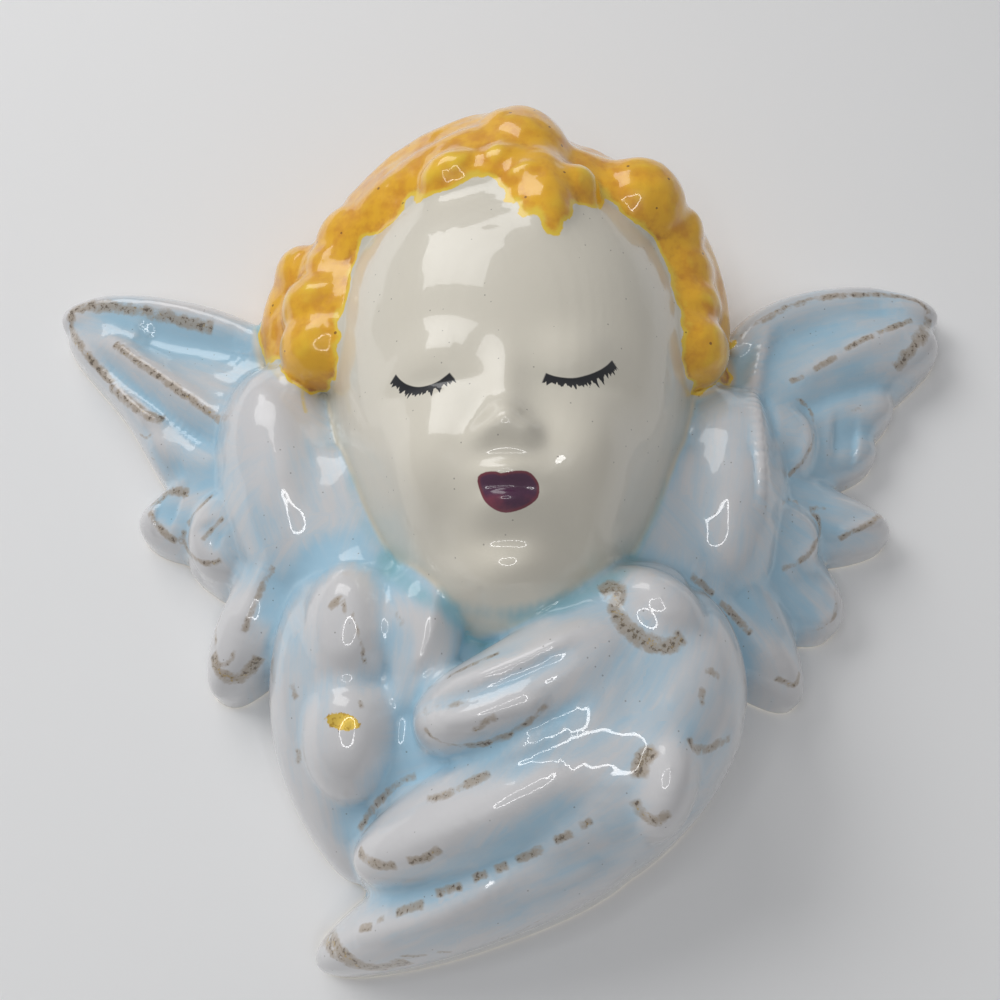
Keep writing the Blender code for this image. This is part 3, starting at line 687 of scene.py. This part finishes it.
def along_the_feathers(points):
    """Where each point lies on its nearest feather: across it, along it, and which feather it is."""
    x, z = points[:, 0], points[:, 2]
    nearest = np.full(number, np.inf)
    place = np.zeros((number, 3))
    feathers = (*LEFT_WING, *RIGHT_WING, *FOLDED_LEFT_WING, *FOLDED_RIGHT_WING)
    for which, (path, half_widths, _, _) in enumerate(feathers):
        line = curve_point(path, np.linspace(0, 1, PATH_POINTS))
        gap = np.hypot(x[:, None] - line[:, 0], z[:, None] - line[:, 1])
        best = gap.argmin(axis=1)
        run = np.gradient(line, axis=0)
        run /= np.linalg.norm(run, axis=1)[:, None]
        from_line = np.stack([x, z], axis=1) - line[best]
        side = from_line[:, 0] * run[best, 1] - from_line[:, 1] * run[best, 0]
        length = np.linalg.norm(np.subtract(path[2], path[0]))
        reach = gap.min(axis=1) / np.mean(half_widths)
        closer = reach < nearest
        nearest[closer] = reach[closer]
        along = best / (PATH_POINTS - 1) * length
        own = np.full(number, which * FEATHERS_APART)
        place[closer] = np.stack([side, along, own], axis=1)[closer]
    return place


def in_picture(points):
    """Where the camera sees points of the plaque, in pixels of the picture."""
    from_eye = points * MM - np.array(camera.location)
    deep = from_eye @ np.array(ahead)
    px = PICTURE_PIXELS / 2 + FOCAL_PIXELS * from_eye[:, 0] / deep
    py = PICTURE_PIXELS / 2 - FOCAL_PIXELS * (from_eye @ np.array(upward)) / deep
    return px, py


def wash(strokes):
    """How strongly sprayed colour lies at each point, on what faces the front."""
    out = np.zeros(number)
    for path, reach, strength in strokes:
        line = curve_point(path, np.linspace(0, 1, WASH_POINTS))
        apart = np.hypot(px[:, None] - line[:, 0], py[:, None] - line[:, 1]).min(axis=1)
        out = np.maximum(out, strength * np.exp(-((apart / reach / WASH_SPREAD) ** 2)))
    return out * facing


normals = read_vectors(plaque.data.vertices, "normal")
px, py = in_picture(points)
# The creases and hollows also drive the painted shade of the skin and of the hair's yellow.
creases = ((smoothed(points, CREASE_PASSES) - points) * normals).sum(axis=1)
hollows = ((smoothed(points, HOLLOW_PASSES) - points) * normals).sum(axis=1)
keep_attribute("creases", creases)
keep_attribute("hollows", hollows)
keep_attribute("blue_wash", wash(BLUE_WASHES))
keep_attribute("teal_wash", wash(TEAL_WASHES))
keep_attribute("drips", wash(HAIR_DRIPS))
keep_attribute("feather", along_the_feathers(points))

# The lips and lashes
# Painted by hand in dark colour: a maroon mouth, darker in the middle, and black lashes with a thick line
# along each closed lid. Both are placed by their outlines in the picture.
LIPS = (
    (476.4, 478), (483, 472.4), (495, 471), (501.4, 473), (513, 470.6), (527, 471), (535, 477),
    (539.4, 486), (538, 498), (527, 507), (515, 511.6), (505, 513), (495, 510), (485, 502), (479.4, 490),
)
LASH_LINES = (
    ((394, 376), (399, 382), (406, 387), (416, 389.5), (427, 388), (437, 384.5), (446, 379), (452, 374)),
    ((544, 375), (552, 378), (563, 380), (576, 380.5), (589, 377.5), (600, 373), (608, 368), (614, 362)),
)
LASHES_BELOW = 378
LASH_REACH = 5.0
LIPS_MIDDLE = (508, 492)
LIPS_WINDOW = (60, 50)
PIXEL_ON_LIPS = 0.16
RIM_HEIGHT = 9.0
FAR = 99.0
OFF_THE_LINE = -9.0
corners = [tuple(face.vertices) for face in plaque.data.polygons]
glaze_skin = BVHTree.FromPolygons([tuple(point) for point in points], corners)


def rounded(path, steps):
    """A smooth line through the points of a path, with the given number of steps between each two."""
    path = np.asarray(path, float)
    padded = np.concatenate([2 * path[:1] - path[1:2], path, 2 * path[-1:] - path[-2:-1]])
    line = []
    for a, b, c, d in zip(padded, padded[1:], padded[2:], padded[3:]):
        for t in np.arange(steps) / steps:
            line.append(b + 0.5 * t * (c - a + t * (2 * a - 5 * b + 4 * c - d + t * (3 * (b - c) + d - a))))
    return np.array([*line, path[-1]])


def on_the_glaze(line):
    """What the camera sees of the glaze at points of the picture, and the way out of the glaze there."""
    eye = camera.location / MM
    places, outs = [], []
    half = PICTURE_PIXELS / 2
    for across, down in line:
        sideways = Vector((1, 0, 0)) * (across - half) / FOCAL_PIXELS
        ray = ahead + sideways + upward * (half - down) / FOCAL_PIXELS
        place, out, _, _ = glaze_skin.ray_cast(eye, ray)
        if place is None:
            place, out, _, _ = glaze_skin.find_nearest(eye + ray * (EYE_DISTANCE / MM - RIM_HEIGHT))
        places.append(place)
        outs.append(out)
    return np.array(places), np.array(outs)


def beside_line(line, reach):
    """The points near a painted line, how far each is to its side and along it, and the line's length."""
    places, outs = on_the_glaze(line)
    low, high = places.min(axis=0) - reach, places.max(axis=0) + reach
    near = np.flatnonzero(((points > low) & (points < high)).all(axis=1))
    start, run = places[:-1], np.diff(places, axis=0)
    length = np.linalg.norm(run, axis=1)
    begun = np.concatenate([[0], np.cumsum(length)[:-1]])
    offset = points[near][:, None] - start
    share = (offset * run).sum(axis=2) / length**2
    held = np.clip(share, 0, 1)
    gap = np.linalg.norm(offset - held[..., None] * run, axis=2)
    best = gap.argmin(axis=1)
    rows = np.arange(len(near))
    share, gap = share[rows, best], gap[rows, best]
    first_or_last = ((best == 0) & (share < 0)) | ((best == len(run) - 1) & (share > 1))
    share = np.where(first_or_last, share, np.clip(share, 0, 1))
    side = (np.cross(run[best], outs[best]) * (points[near] - places[best])).sum(axis=1)
    return near, np.sign(side) * gap, begun[best] + share * length[best], length.sum()


below = np.where(py > LASHES_BELOW, FAR, -FAR)
lashes = np.stack([below, np.zeros(number), np.full(number, OFF_THE_LINE)], axis=1)
for lash_line in LASH_LINES:
    near, aside, along, whole = beside_line(rounded(lash_line, 5), LASH_REACH)
    lashes[near] = np.stack([aside, along, np.minimum(along, whole - along)], axis=1)
keep_attribute("lashes", lashes)

outline = rounded((*LIPS, LIPS[0]), 4)[:-1]
following = np.roll(outline, -1, axis=0)
across, down = np.abs(px - LIPS_MIDDLE[0]), np.abs(py - LIPS_MIDDLE[1])
near = np.flatnonzero((across < LIPS_WINDOW[0]) & (down < LIPS_WINDOW[1]) & (facing > 0))
offset = np.stack([px[near], py[near]], axis=1)[:, None] - outline
run = following - outline
share = np.clip((offset * run).sum(axis=2) / (run**2).sum(axis=1), 0, 1)
gap = np.linalg.norm(offset - share[..., None] * run, axis=2).min(axis=1)
spans = (outline[:, 1] > py[near][:, None]) != (following[:, 1] > py[near][:, None])
rise = np.where(run[:, 1] == 0, 1e-9, run[:, 1])
slant = (py[near][:, None] - outline[:, 1]) * run[:, 0] / rise + outline[:, 0]
inside = (spans & (px[near][:, None] < slant)).sum(axis=1) % 2 == 1
lips = np.full(number, OFF_THE_LINE)
lips[near] = np.where(inside, gap, -gap) * PIXEL_ON_LIPS
keep_attribute("lips", lips)

# The gilding
# Gold was brushed on last, along the rims and shafts of the feathers, and has rubbed to a taupe stain with
# flecks of metal. Each line is its path in the picture, its half-width in millimetres and how much of it is
# left, from 0 to 1.
GILT_LEFT_WING = (
    (((114, 344), (140, 363), (165, 380), (192, 400), (220, 420)), 0.75, 0.85),
    (((70, 323), (74, 337), (82, 350), (96, 366), (112, 383)), 0.8, 0.85),
    (((109, 386), (125, 399), (143, 411), (164, 420)), 1.05, 0.8),
    (((69, 322), (73, 311), (84, 306), (100, 305), (133, 309), (170, 318), (213, 328)), 1.2, 0.8),
    (((70, 313), (78, 309), (85, 308)), 0.9, 0.8),
    (((139, 433), (146, 438), (152, 434)), 0.35, 0.5),
    (((144, 451), (152, 458), (164, 463)), 0.3, 0.5),
    (((152, 506), (160, 496), (174, 492), (189, 494)), 0.8, 0.8),
    (((150, 511), (154, 521), (161, 529), (170, 537), (177, 542)), 0.7, 0.75),
    (((213, 495), (203, 504), (194, 514), (188, 525)), 0.6, 0.75),
    (((185, 530), (184, 541), (189, 552), (198, 560), (210, 564), (221, 560)), 0.6, 0.75),
    (((224, 517), (214, 527), (202, 540)), 0.5, 0.6),
    (((273, 566), (261, 590), (251, 612), (243, 632)), 0.6, 0.7),
    (((222, 612), (216, 628), (216, 645)), 0.5, 0.75),
    (((213, 654), (216, 666), (224, 675), (237, 679), (249, 672), (259, 657)), 1.1, 0.95),
    (((222, 668), (230, 660), (236, 650)), 0.5, 0.6),
)
GILT_RIGHT_WING = (
    (((740, 336), (756, 324), (774, 314), (795, 306), (818, 300)), 0.5, 0.4),
    (((760, 322), (790, 306), (820, 298), (856, 295), (889, 295), (918, 301), (930, 313)), 0.7, 0.75),
    (((929, 318), (925, 330), (914, 346), (904, 358), (895, 368)), 1.2, 0.8),
    (((895, 293), (905, 290), (918, 288)), 0.5, 0.6),
    (((790, 382), (797, 379), (804, 376)), 0.5, 0.8),
    (((814, 370), (824, 364), (836, 356)), 0.55, 0.85),
    (((845, 350), (858, 342), (873, 335)), 0.55, 0.85),
    (((878, 333), (893, 327), (912, 320)), 0.55, 0.85),
    (((795, 398), (808, 407), (813, 422), (813, 440), (805, 458), (788, 476)), 0.5, 0.6),
    (((851, 411), (857, 409), (863, 410)), 0.4, 0.6),
    (((809, 509), (817, 507), (826, 509)), 0.4, 0.6),
    (((839, 539), (853, 532), (868, 524), (883, 514)), 0.6, 0.8),
    (((872, 507), (882, 512), (888, 524)), 0.5, 0.7),
    (((845, 486), (858, 497), (872, 509)), 0.35, 0.6),
    (((782, 502), (790, 500), (798, 503)), 0.5, 0.6),
    (((813, 512), (818, 520), (819, 536), (810, 553), (797, 563), (782, 569)), 0.6, 0.75),
    (((835, 589), (836, 605), (833, 619), (822, 628), (809, 631)), 0.45, 0.6),
    (((691, 576), (701, 584), (713, 595)), 0.6, 0.85),
    (((720, 602), (735, 616), (751, 634)), 0.6, 0.85),
    (((776, 678), (786, 683), (795, 685), (800, 673)), 0.6, 0.8),
    (((768, 444), (768, 452)), 0.5, 0.5),
    (((766, 505), (766, 513)), 0.5, 0.5),
)
GILT_FOLDED_WINGS = (
    (((601, 593), (610, 588), (618, 590), (616, 610), (627, 629), (649, 642), (668, 646), (683, 636)),
     1.1, 0.95),
    (((705, 671), (712, 672), (719, 678)), 0.6, 0.7),
    (((703, 688), (702, 697), (703, 706)), 0.6, 0.7),
    (((689, 738), (694, 748), (706, 750), (718, 744), (730, 738)), 0.65, 0.8),
    (((655, 748), (647, 755), (640, 765), (640, 778)), 1.0, 0.95),
    (((635, 800), (641, 812), (655, 821), (671, 814)), 0.9, 0.85),
    (((426, 690), (431, 687), (436, 685)), 0.5, 0.7),
    (((448, 677), (465, 668), (482, 660), (499, 653)), 0.55, 0.8),
    (((423, 712), (438, 709), (454, 704), (470, 699)), 0.8, 0.45),
    (((474, 732), (485, 722), (497, 718)), 0.7, 0.7),
    (((424, 728), (434, 738), (446, 744), (465, 746)), 0.45, 0.7),
    (((465, 746), (483, 744), (500, 738), (515, 731), (531, 720), (546, 705)), 0.6, 0.75),
    (((359, 830), (368, 815), (378, 803), (390, 791), (403, 781), (416, 776)), 0.6, 0.75),
    (((427, 800), (445, 794), (468, 784), (490, 774)), 0.7, 0.75),
    (((359, 850), (370, 862), (384, 866), (396, 865)), 0.7, 0.85),
    (((408, 862), (424, 859), (440, 849)), 0.7, 0.85),
    (((359, 929), (366, 927), (372, 926)), 0.5, 0.8),
    (((377, 921), (384, 918)), 0.5, 0.8),
    (((396, 913), (410, 908), (424, 905)), 0.65, 0.9),
    (((436, 894), (448, 890), (462, 886)), 0.6, 0.9),
    (((473, 879), (480, 876), (487, 873)), 0.6, 0.9),
    (((495, 870), (508, 865)), 0.6, 0.9),
    (((516, 859), (530, 854), (543, 849)), 0.6, 0.9),
    (((554, 841), (563, 837), (572, 833)), 0.6, 0.9),
    (((580, 826), (592, 821)), 0.6, 0.85),
    (((400, 956), (413, 956), (427, 955)), 0.5, 0.6),
    (((437, 952), (452, 952)), 0.5, 0.6),
    (((334, 912), (328, 924), (330, 940), (339, 952), (352, 962), (368, 967), (388, 967), (408, 961)),
     1.3, 1.0),
    (((330, 930), (331, 945), (342, 958)), 0.5, 0.4),
    (((467, 951), (495, 941), (522, 930), (548, 915)), 0.3, 0.6),
    (((330, 609), (336, 601), (343, 597)), 0.55, 0.75),
    (((341, 601), (345, 608), (344, 613)), 0.45, 0.6),
    (((352, 612), (357, 630), (362, 648), (365, 664)), 0.4, 0.6),
    (((396, 612), (401, 617), (405, 622)), 0.9, 0.5),
    (((292, 684), (294, 692), (297, 698)), 0.75, 0.6),
    (((297, 749), (299, 756), (296, 763)), 0.75, 0.6),
    (((359, 700), (362, 708)), 0.45, 0.5),
)
BRIGHT_GOLD_PLACE = (343, 722)
BRIGHT_GOLD_REACH = (18, 9)
BRIGHT_GOLD_SLANT = 0.3
GILT_REACH = 3.0
GILT_CUT = 2.2
NO_GILT = (9.0, OFF_THE_LINE, 0.0)

gilt = np.tile(NO_GILT, (number, 1))
for line, half_width, left in (*GILT_LEFT_WING, *GILT_RIGHT_WING, *GILT_FOLDED_WINGS):
    near, aside, along, whole = beside_line(rounded(line, 6), GILT_REACH)
    aside = np.abs(aside) / half_width
    closer = aside < gilt[near, 0]
    near, aside, along = near[closer], aside[closer], along[closer]
    reached = aside < GILT_CUT / half_width
    gilt[near] = np.stack([aside, np.minimum(along, whole - along), np.where(reached, left, 0)], axis=1)
keep_attribute("gilt", gilt)
leaf_x = (px - BRIGHT_GOLD_PLACE[0]) / BRIGHT_GOLD_REACH[0]
leaf_y = (py - BRIGHT_GOLD_PLACE[1]) / BRIGHT_GOLD_REACH[1]
within_leaf = 1 - np.hypot(leaf_x, leaf_y - BRIGHT_GOLD_SLANT * leaf_x)
keep_attribute("bright_gold", np.where(facing > 0, within_leaf, OFF_THE_LINE))

# The glazed surface
# Glazed earthenware: a clear, hard, glassy glaze over sprayed and brushed colours. It is smooth as glass,
# with a slight orange-peel waviness, and gives sharp reflections over soft, chalky colour.
SKIN_ENDS_Z = (-0.0343, -0.0326)
LOWER_LIP_Z = (-0.0163, -0.0176)
PINHOLE_CELLS = 420.0
SPECK_CELLS = 900.0
FLECK = 0.8
glassy = {"Roughness": 0.3, "IOR": 1.5, "Coat Weight": 1.0, "Coat Roughness": 0.03, "Coat IOR": 1.55}
glaze, tree, shader = new_finish("glazed_earthenware", glassy)
place = node(tree, "ShaderNodeTexCoord").outputs["Object"]


def kept(name, output="Fac"):
    """What a named attribute holds."""
    return node(tree, "ShaderNodeAttribute", attribute_name=name).outputs[output]


def sum_of(terms):
    """The sum of values, each times its share."""
    total = 0.0
    for value, share in terms:
        sockets = {0: value, 1: share, 2: total}
        total = node(tree, "ShaderNodeMath", sockets, operation="MULTIPLY_ADD").outputs[0]
    return total


def step(value, low, high):
    """0 at low, 1 at high, and a soft edge between."""
    sockets = {"Value": value, "From Min": low, "From Max": high}
    return node(tree, "ShaderNodeMapRange", sockets, interpolation_type="SMOOTHSTEP").outputs["Result"]


def all_of(*masks):
    """The share where every mask is on."""
    product = masks[0]
    for mask in masks[1:]:
        product = node(tree, "ShaderNodeMath", {0: product, 1: mask}, operation="MULTIPLY").outputs[0]
    return product


def over(under, mask, colour):
    """A colour laid over another one where the mask is on, each a socket or sRGB hex."""
    under, colour = (linear(paint) if isinstance(paint, str) else paint for paint in (under, colour))
    return node(tree, "ShaderNodeMix", {0: mask, 6: under, 7: colour}, data_type="RGBA").outputs[2]


def mottle(millimetres, detail=3.0, roughness=0.6):
    """Soft noise from 0 to 1 with patches of the given size."""
    sockets = {"Vector": place, "Scale": 1000 / millimetres, "Detail": detail, "Roughness": roughness}
    return node(tree, "ShaderNodeTexNoise", sockets).outputs["Fac"]


def dots(cells, radius):
    """A dot in each cell, with that many cells to a metre, and each cell's own number from 0 to 1."""
    pattern = node(tree, "ShaderNodeTexVoronoi", {"Vector": place, "Scale": cells})
    own = node(tree, "ShaderNodeSeparateColor", {0: pattern.outputs["Color"]}).outputs[0]
    sockets = {0: pattern.outputs["Distance"], 1: radius}
    return node(tree, "ShaderNodeMath", sockets, operation="LESS_THAN").outputs[0], own


creases = kept("creases")
hollows = kept("hollows")
broad = mottle(14)
cloudy = mottle(5)
brushed = node(tree, "ShaderNodeMapping", {"Vector": kept("feather", "Vector"), "Scale": (0.45, 0.07, 1.0)})
strokes = {"Vector": brushed.outputs[0], "Scale": 1.0, "Detail": 4.0, "Roughness": 0.65}
streaky = node(tree, "ShaderNodeTexNoise", strokes).outputs["Fac"]
blue = sum_of([(kept("blue_wash"), 0.85), (creases, 0.8), (hollows, 0.22), (streaky, 1.5), (broad, 0.7)])
colour = over("d4d3d4", step(blue, 0.8, 2.15), "a4c9de")

face = kept("face")
# Painted shade: the skin is greyer in the hollows, mixed with a broad random mottle.
shaded = step(sum_of([(broad, 0.5), (hollows, 0.5)]), 0.2, 0.9)
skin = over("ddd7c8", shaded, "cfcbbc")
height_on_wall = node(tree, "ShaderNodeSeparateXYZ", {0: place}).outputs["Z"]
above_chin = step(height_on_wall, *SKIN_ENDS_Z)
colour = over(colour, all_of(step(face, -0.7, 0.7), above_chin), skin)
hair = kept("hair")
colour = over(colour, step(hair, -2.2, -0.6), skin)
teal = sum_of([(kept("teal_wash"), 0.85), (creases, 0.6), (cloudy, 0.3)])
colour = over(colour, step(teal, 0.35, 1.2), "88b9c5")

strands = mottle(2.2, 4)
yellow = over("f2b622", step(sum_of([(cloudy, 1.0), (strands, 0.5)]), 0.62, 0.95), "e09a1e")
# Painted shade and highlight: the yellow turns darker orange-brown in the creases and paler on the ridges.
yellow = over(yellow, step(sum_of([(creases, 1.0), (strands, 0.5)]), 0.35, 0.75), "b06a18")
yellow = over(yellow, step(sum_of([(creases, -1.0), (cloudy, 0.6)]), 0.42, 0.8), "f6cb34")
scallops = mottle(6, 1)
ragged = sum_of([(hair, 1.0), (strands, 1.6), (scallops, 7.0), (1.0, -3.5)])
edge_colour = over("efcb40", step(ragged, 0.9, 1.9), yellow)
colour = over(colour, step(ragged, 0.35, 0.6), edge_colour)
colour = over(colour, step(kept("drips"), 0.35, 0.75), "e6cd62")

hole, chosen = dots(PINHOLE_CELLS, 0.12)
pinholes = all_of(hole, step(chosen, 0.72, 0.74), step(hair, 0.3, 0.6))
colour = over(colour, all_of(pinholes, 0.8), "7a4a14")
speck, chosen = dots(SPECK_CELLS, 0.13)
specks = all_of(speck, step(sum_of([(chosen, 1.0), (broad, 0.3)]), 1.03, 1.04), step(hair, 0.0, -0.5))
colour = over(colour, all_of(specks, 0.5), "5a544c")

lips = kept("lips")
lip_colour = over("742e3b", step(lips, 0.2, 0.7), "4f2544")
lower_lip = all_of(step(height_on_wall, *LOWER_LIP_Z), step(cloudy, 0.3, 0.6))
lip_colour = over(lip_colour, lower_lip, "7d3648")
colour = over(colour, step(lips, -0.05, 0.12), lip_colour)

lash = node(tree, "ShaderNodeSeparateXYZ", {0: kept("lashes", "Vector")})
below, along, room = lash.outputs
lid = all_of(step(below, -0.55, -0.35), step(below, 0.75, 0.5))
spacing = {"W": sum_of([(along, 1.6)]), "Scale": 1.0, "Detail": 1.0}
comb = node(tree, "ShaderNodeTexNoise", spacing, noise_dimensions="1D")
hanging = step(sum_of([(comb.outputs["Fac"], 2.9), (below, -1.0)]), 0.2, 0.45)
hairs = all_of(hanging, step(below, -0.2, 0.0))
either = node(tree, "ShaderNodeMath", {0: lid, 1: hairs}, operation="MAXIMUM").outputs[0]
lashes_on = all_of(either, step(room, 0.0, 0.3))
colour = over(colour, lashes_on, "15161b")

line = node(tree, "ShaderNodeSeparateXYZ", {0: kept("gilt", "Vector")})
wide, room, left = line.outputs
fleck = mottle(FLECK, 4, 0.7)
patchy = mottle(2.4, 3, 0.6)
squared = all_of(wide, wide)
on_line = all_of(step(room, -0.3, 0.4), step(left, 0.02, 0.2))
rubbed = step(sum_of([(left, 0.9), (squared, -0.3), (patchy, -1.6), (fleck, -0.6), (1.0, 0.95)]), 0.0, 0.6)
colour = over(colour, all_of(rubbed, on_line, 0.72), "a5937c")
worn = sum_of([(left, 1.0), (squared, -0.4), (fleck, -3.0), (patchy, -1.0), (1.0, 1.3)])
stain = all_of(step(worn, 0.1, 0.45), on_line)
gold = over("877657", step(fleck, 0.48, 0.4), "57483a")
gold = over(gold, step(patchy, 0.52, 0.6), "bfa25c")
colour = over(colour, all_of(stain, 0.75), gold)
bright = step(sum_of([(kept("bright_gold"), 1.0), (fleck, 0.8)]), 0.38, 0.5)
colour = over(colour, bright, over("efcb55", step(fleck, 0.5, 0.6), "d0a436"))
tree.links.new(colour, shader.inputs["Base Color"])
metal = sum_of([(stain, 0.25), (bright, 0.45)])
tree.links.new(metal, shader.inputs["Metallic"])
peel = node(tree, "ShaderNodeBump", {"Strength": 0.12, "Distance": 0.0004, "Height": mottle(3.5, 2)})
tree.links.new(peel.outputs["Normal"], shader.inputs["Normal"])

# The bare back
# The flat back and the nail's slot were wiped clean of glaze before the last firing, so the casting's body
# shows: matt, off-white biscuit-fired earthenware with a fine grain.
GRAIN = 0.6
SHARP_EDGE = math.radians(60)
BARE_WITHIN = 0.05
SLOT_MARGIN = 0.2
biscuit, tree, shader = new_finish("biscuit_earthenware", {"Roughness": 0.85})
place = node(tree, "ShaderNodeTexCoord").outputs["Object"]
tinted = over("ded6c6", step(mottle(18), 0.35, 0.7), "cfc5b2")
tinted = over(tinted, step(mottle(GRAIN, 2), 0.6, 0.75), "beb39e")
tree.links.new(tinted, shader.inputs["Base Color"])
grain = node(tree, "ShaderNodeBump", {"Strength": 0.25, "Distance": 0.0002, "Height": mottle(GRAIN, 2)})
tree.links.new(grain.outputs["Normal"], shader.inputs["Normal"])

wide, deep, high = (side / 2 + SLOT_MARGIN for side in NAIL_SLOT)
x, y, z = points.T
in_slot = (np.abs(x) < wide) & (y > -deep) & (np.abs(z - NAIL_SLOT_Z) < high)
bare = in_slot | (y > -BARE_WITHIN)
plaque.data.materials.clear()
plaque.data.materials.append(glaze)
plaque.data.materials.append(biscuit)
for face in plaque.data.polygons:
    face.material_index = int(bare[list(face.vertices)].all())
plaque.data.shade_smooth()
plaque.data.set_sharp_from_angle(angle=SHARP_EDGE)
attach(plaque, "root")
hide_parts("cherub_plaque")

# The light
# Plain soft studio light: a pale surround, two broad soft lamps, one of them behind the wall, a soft box
# that the brow mirrors as a pale patch, and a ring lamp round the camera that the glaze mirrors as loops.
world = bpy.data.worlds.new("surround")
world.use_nodes = True
world.node_tree.nodes["Background"].inputs["Color"].default_value = linear("ecedf0")
world.node_tree.nodes["Background"].inputs["Strength"].default_value = 0.31
scene.world = world
RING_PLACE = (-20, -400, -95)
RING_RADIUS = 130
RING_WIDTH = 15
RING_STRENGTH = 9.0
SOFT_BOX_PLACE = (-250, -420, 470)
SOFT_BOX_SIZE = (420, 300)
SOFT_BOX_STRENGTH = 1.9
LAMPS_FACE = (0, -40, 10)
SOFT_LAMP_SIZE = 0.6


def lit_lamp(name, mesh, place, strength):
    """A lamp's glowing face, turned to the plaque, which the glaze mirrors and the camera doesn't see."""
    glow, _, _ = new_finish(name, {"Emission Color": linear("ffffff"), "Emission Strength": strength})
    aimed = (Vector(LAMPS_FACE) - Vector(place)).to_track_quat("-Z", "Y").to_matrix()
    bmesh.ops.rotate(mesh, verts=mesh.verts, matrix=aimed)
    bmesh.ops.translate(mesh, vec=Vector(place) * MM, verts=mesh.verts)
    lamp = new_object(name, mesh)
    lamp.data.materials.append(glow)
    lamp.visible_camera = False
    lamp.visible_shadow = False


mesh = bmesh.new()
bmesh.ops.create_circle(mesh, cap_ends=True, segments=64, radius=RING_RADIUS * MM)
bmesh.ops.inset_region(mesh, faces=mesh.faces[:], thickness=RING_WIDTH * MM, use_boundary=True)
disc = max(mesh.faces, key=lambda face: len(face.verts))
bmesh.ops.delete(mesh, geom=[disc], context="FACES")
lit_lamp("ring_lamp", mesh, RING_PLACE, RING_STRENGTH)
mesh = bmesh.new()
bmesh.ops.create_grid(mesh, x_segments=1, y_segments=1, size=0.5)
bmesh.ops.scale(mesh, vec=(SOFT_BOX_SIZE[0] * MM, SOFT_BOX_SIZE[1] * MM, 1), verts=mesh.verts)
lit_lamp("soft_box", mesh, SOFT_BOX_PLACE, SOFT_BOX_STRENGTH)


def soft_lamp(name, place, aim, watts):
    """A broad lamp that the glaze doesn't mirror."""
    data = bpy.data.lights.new(name, "AREA")
    data.shape = "DISK"
    data.size = SOFT_LAMP_SIZE
    data.energy = watts
    lamp = bpy.data.objects.new(name, data)
    lamp.location = Vector(place) * MM
    lamp.rotation_euler = (Vector(aim) * MM - lamp.location).to_track_quat("-Z", "Y").to_euler()
    lamp.visible_glossy = False
    scene.collection.objects.link(lamp)


soft_lamp("soft_lamp", (-760, -760, 420), (0, 0, 0), 4.6)
soft_lamp("behind_the_wall", (0, 700, 0), (0, 0, 0), 2.5)
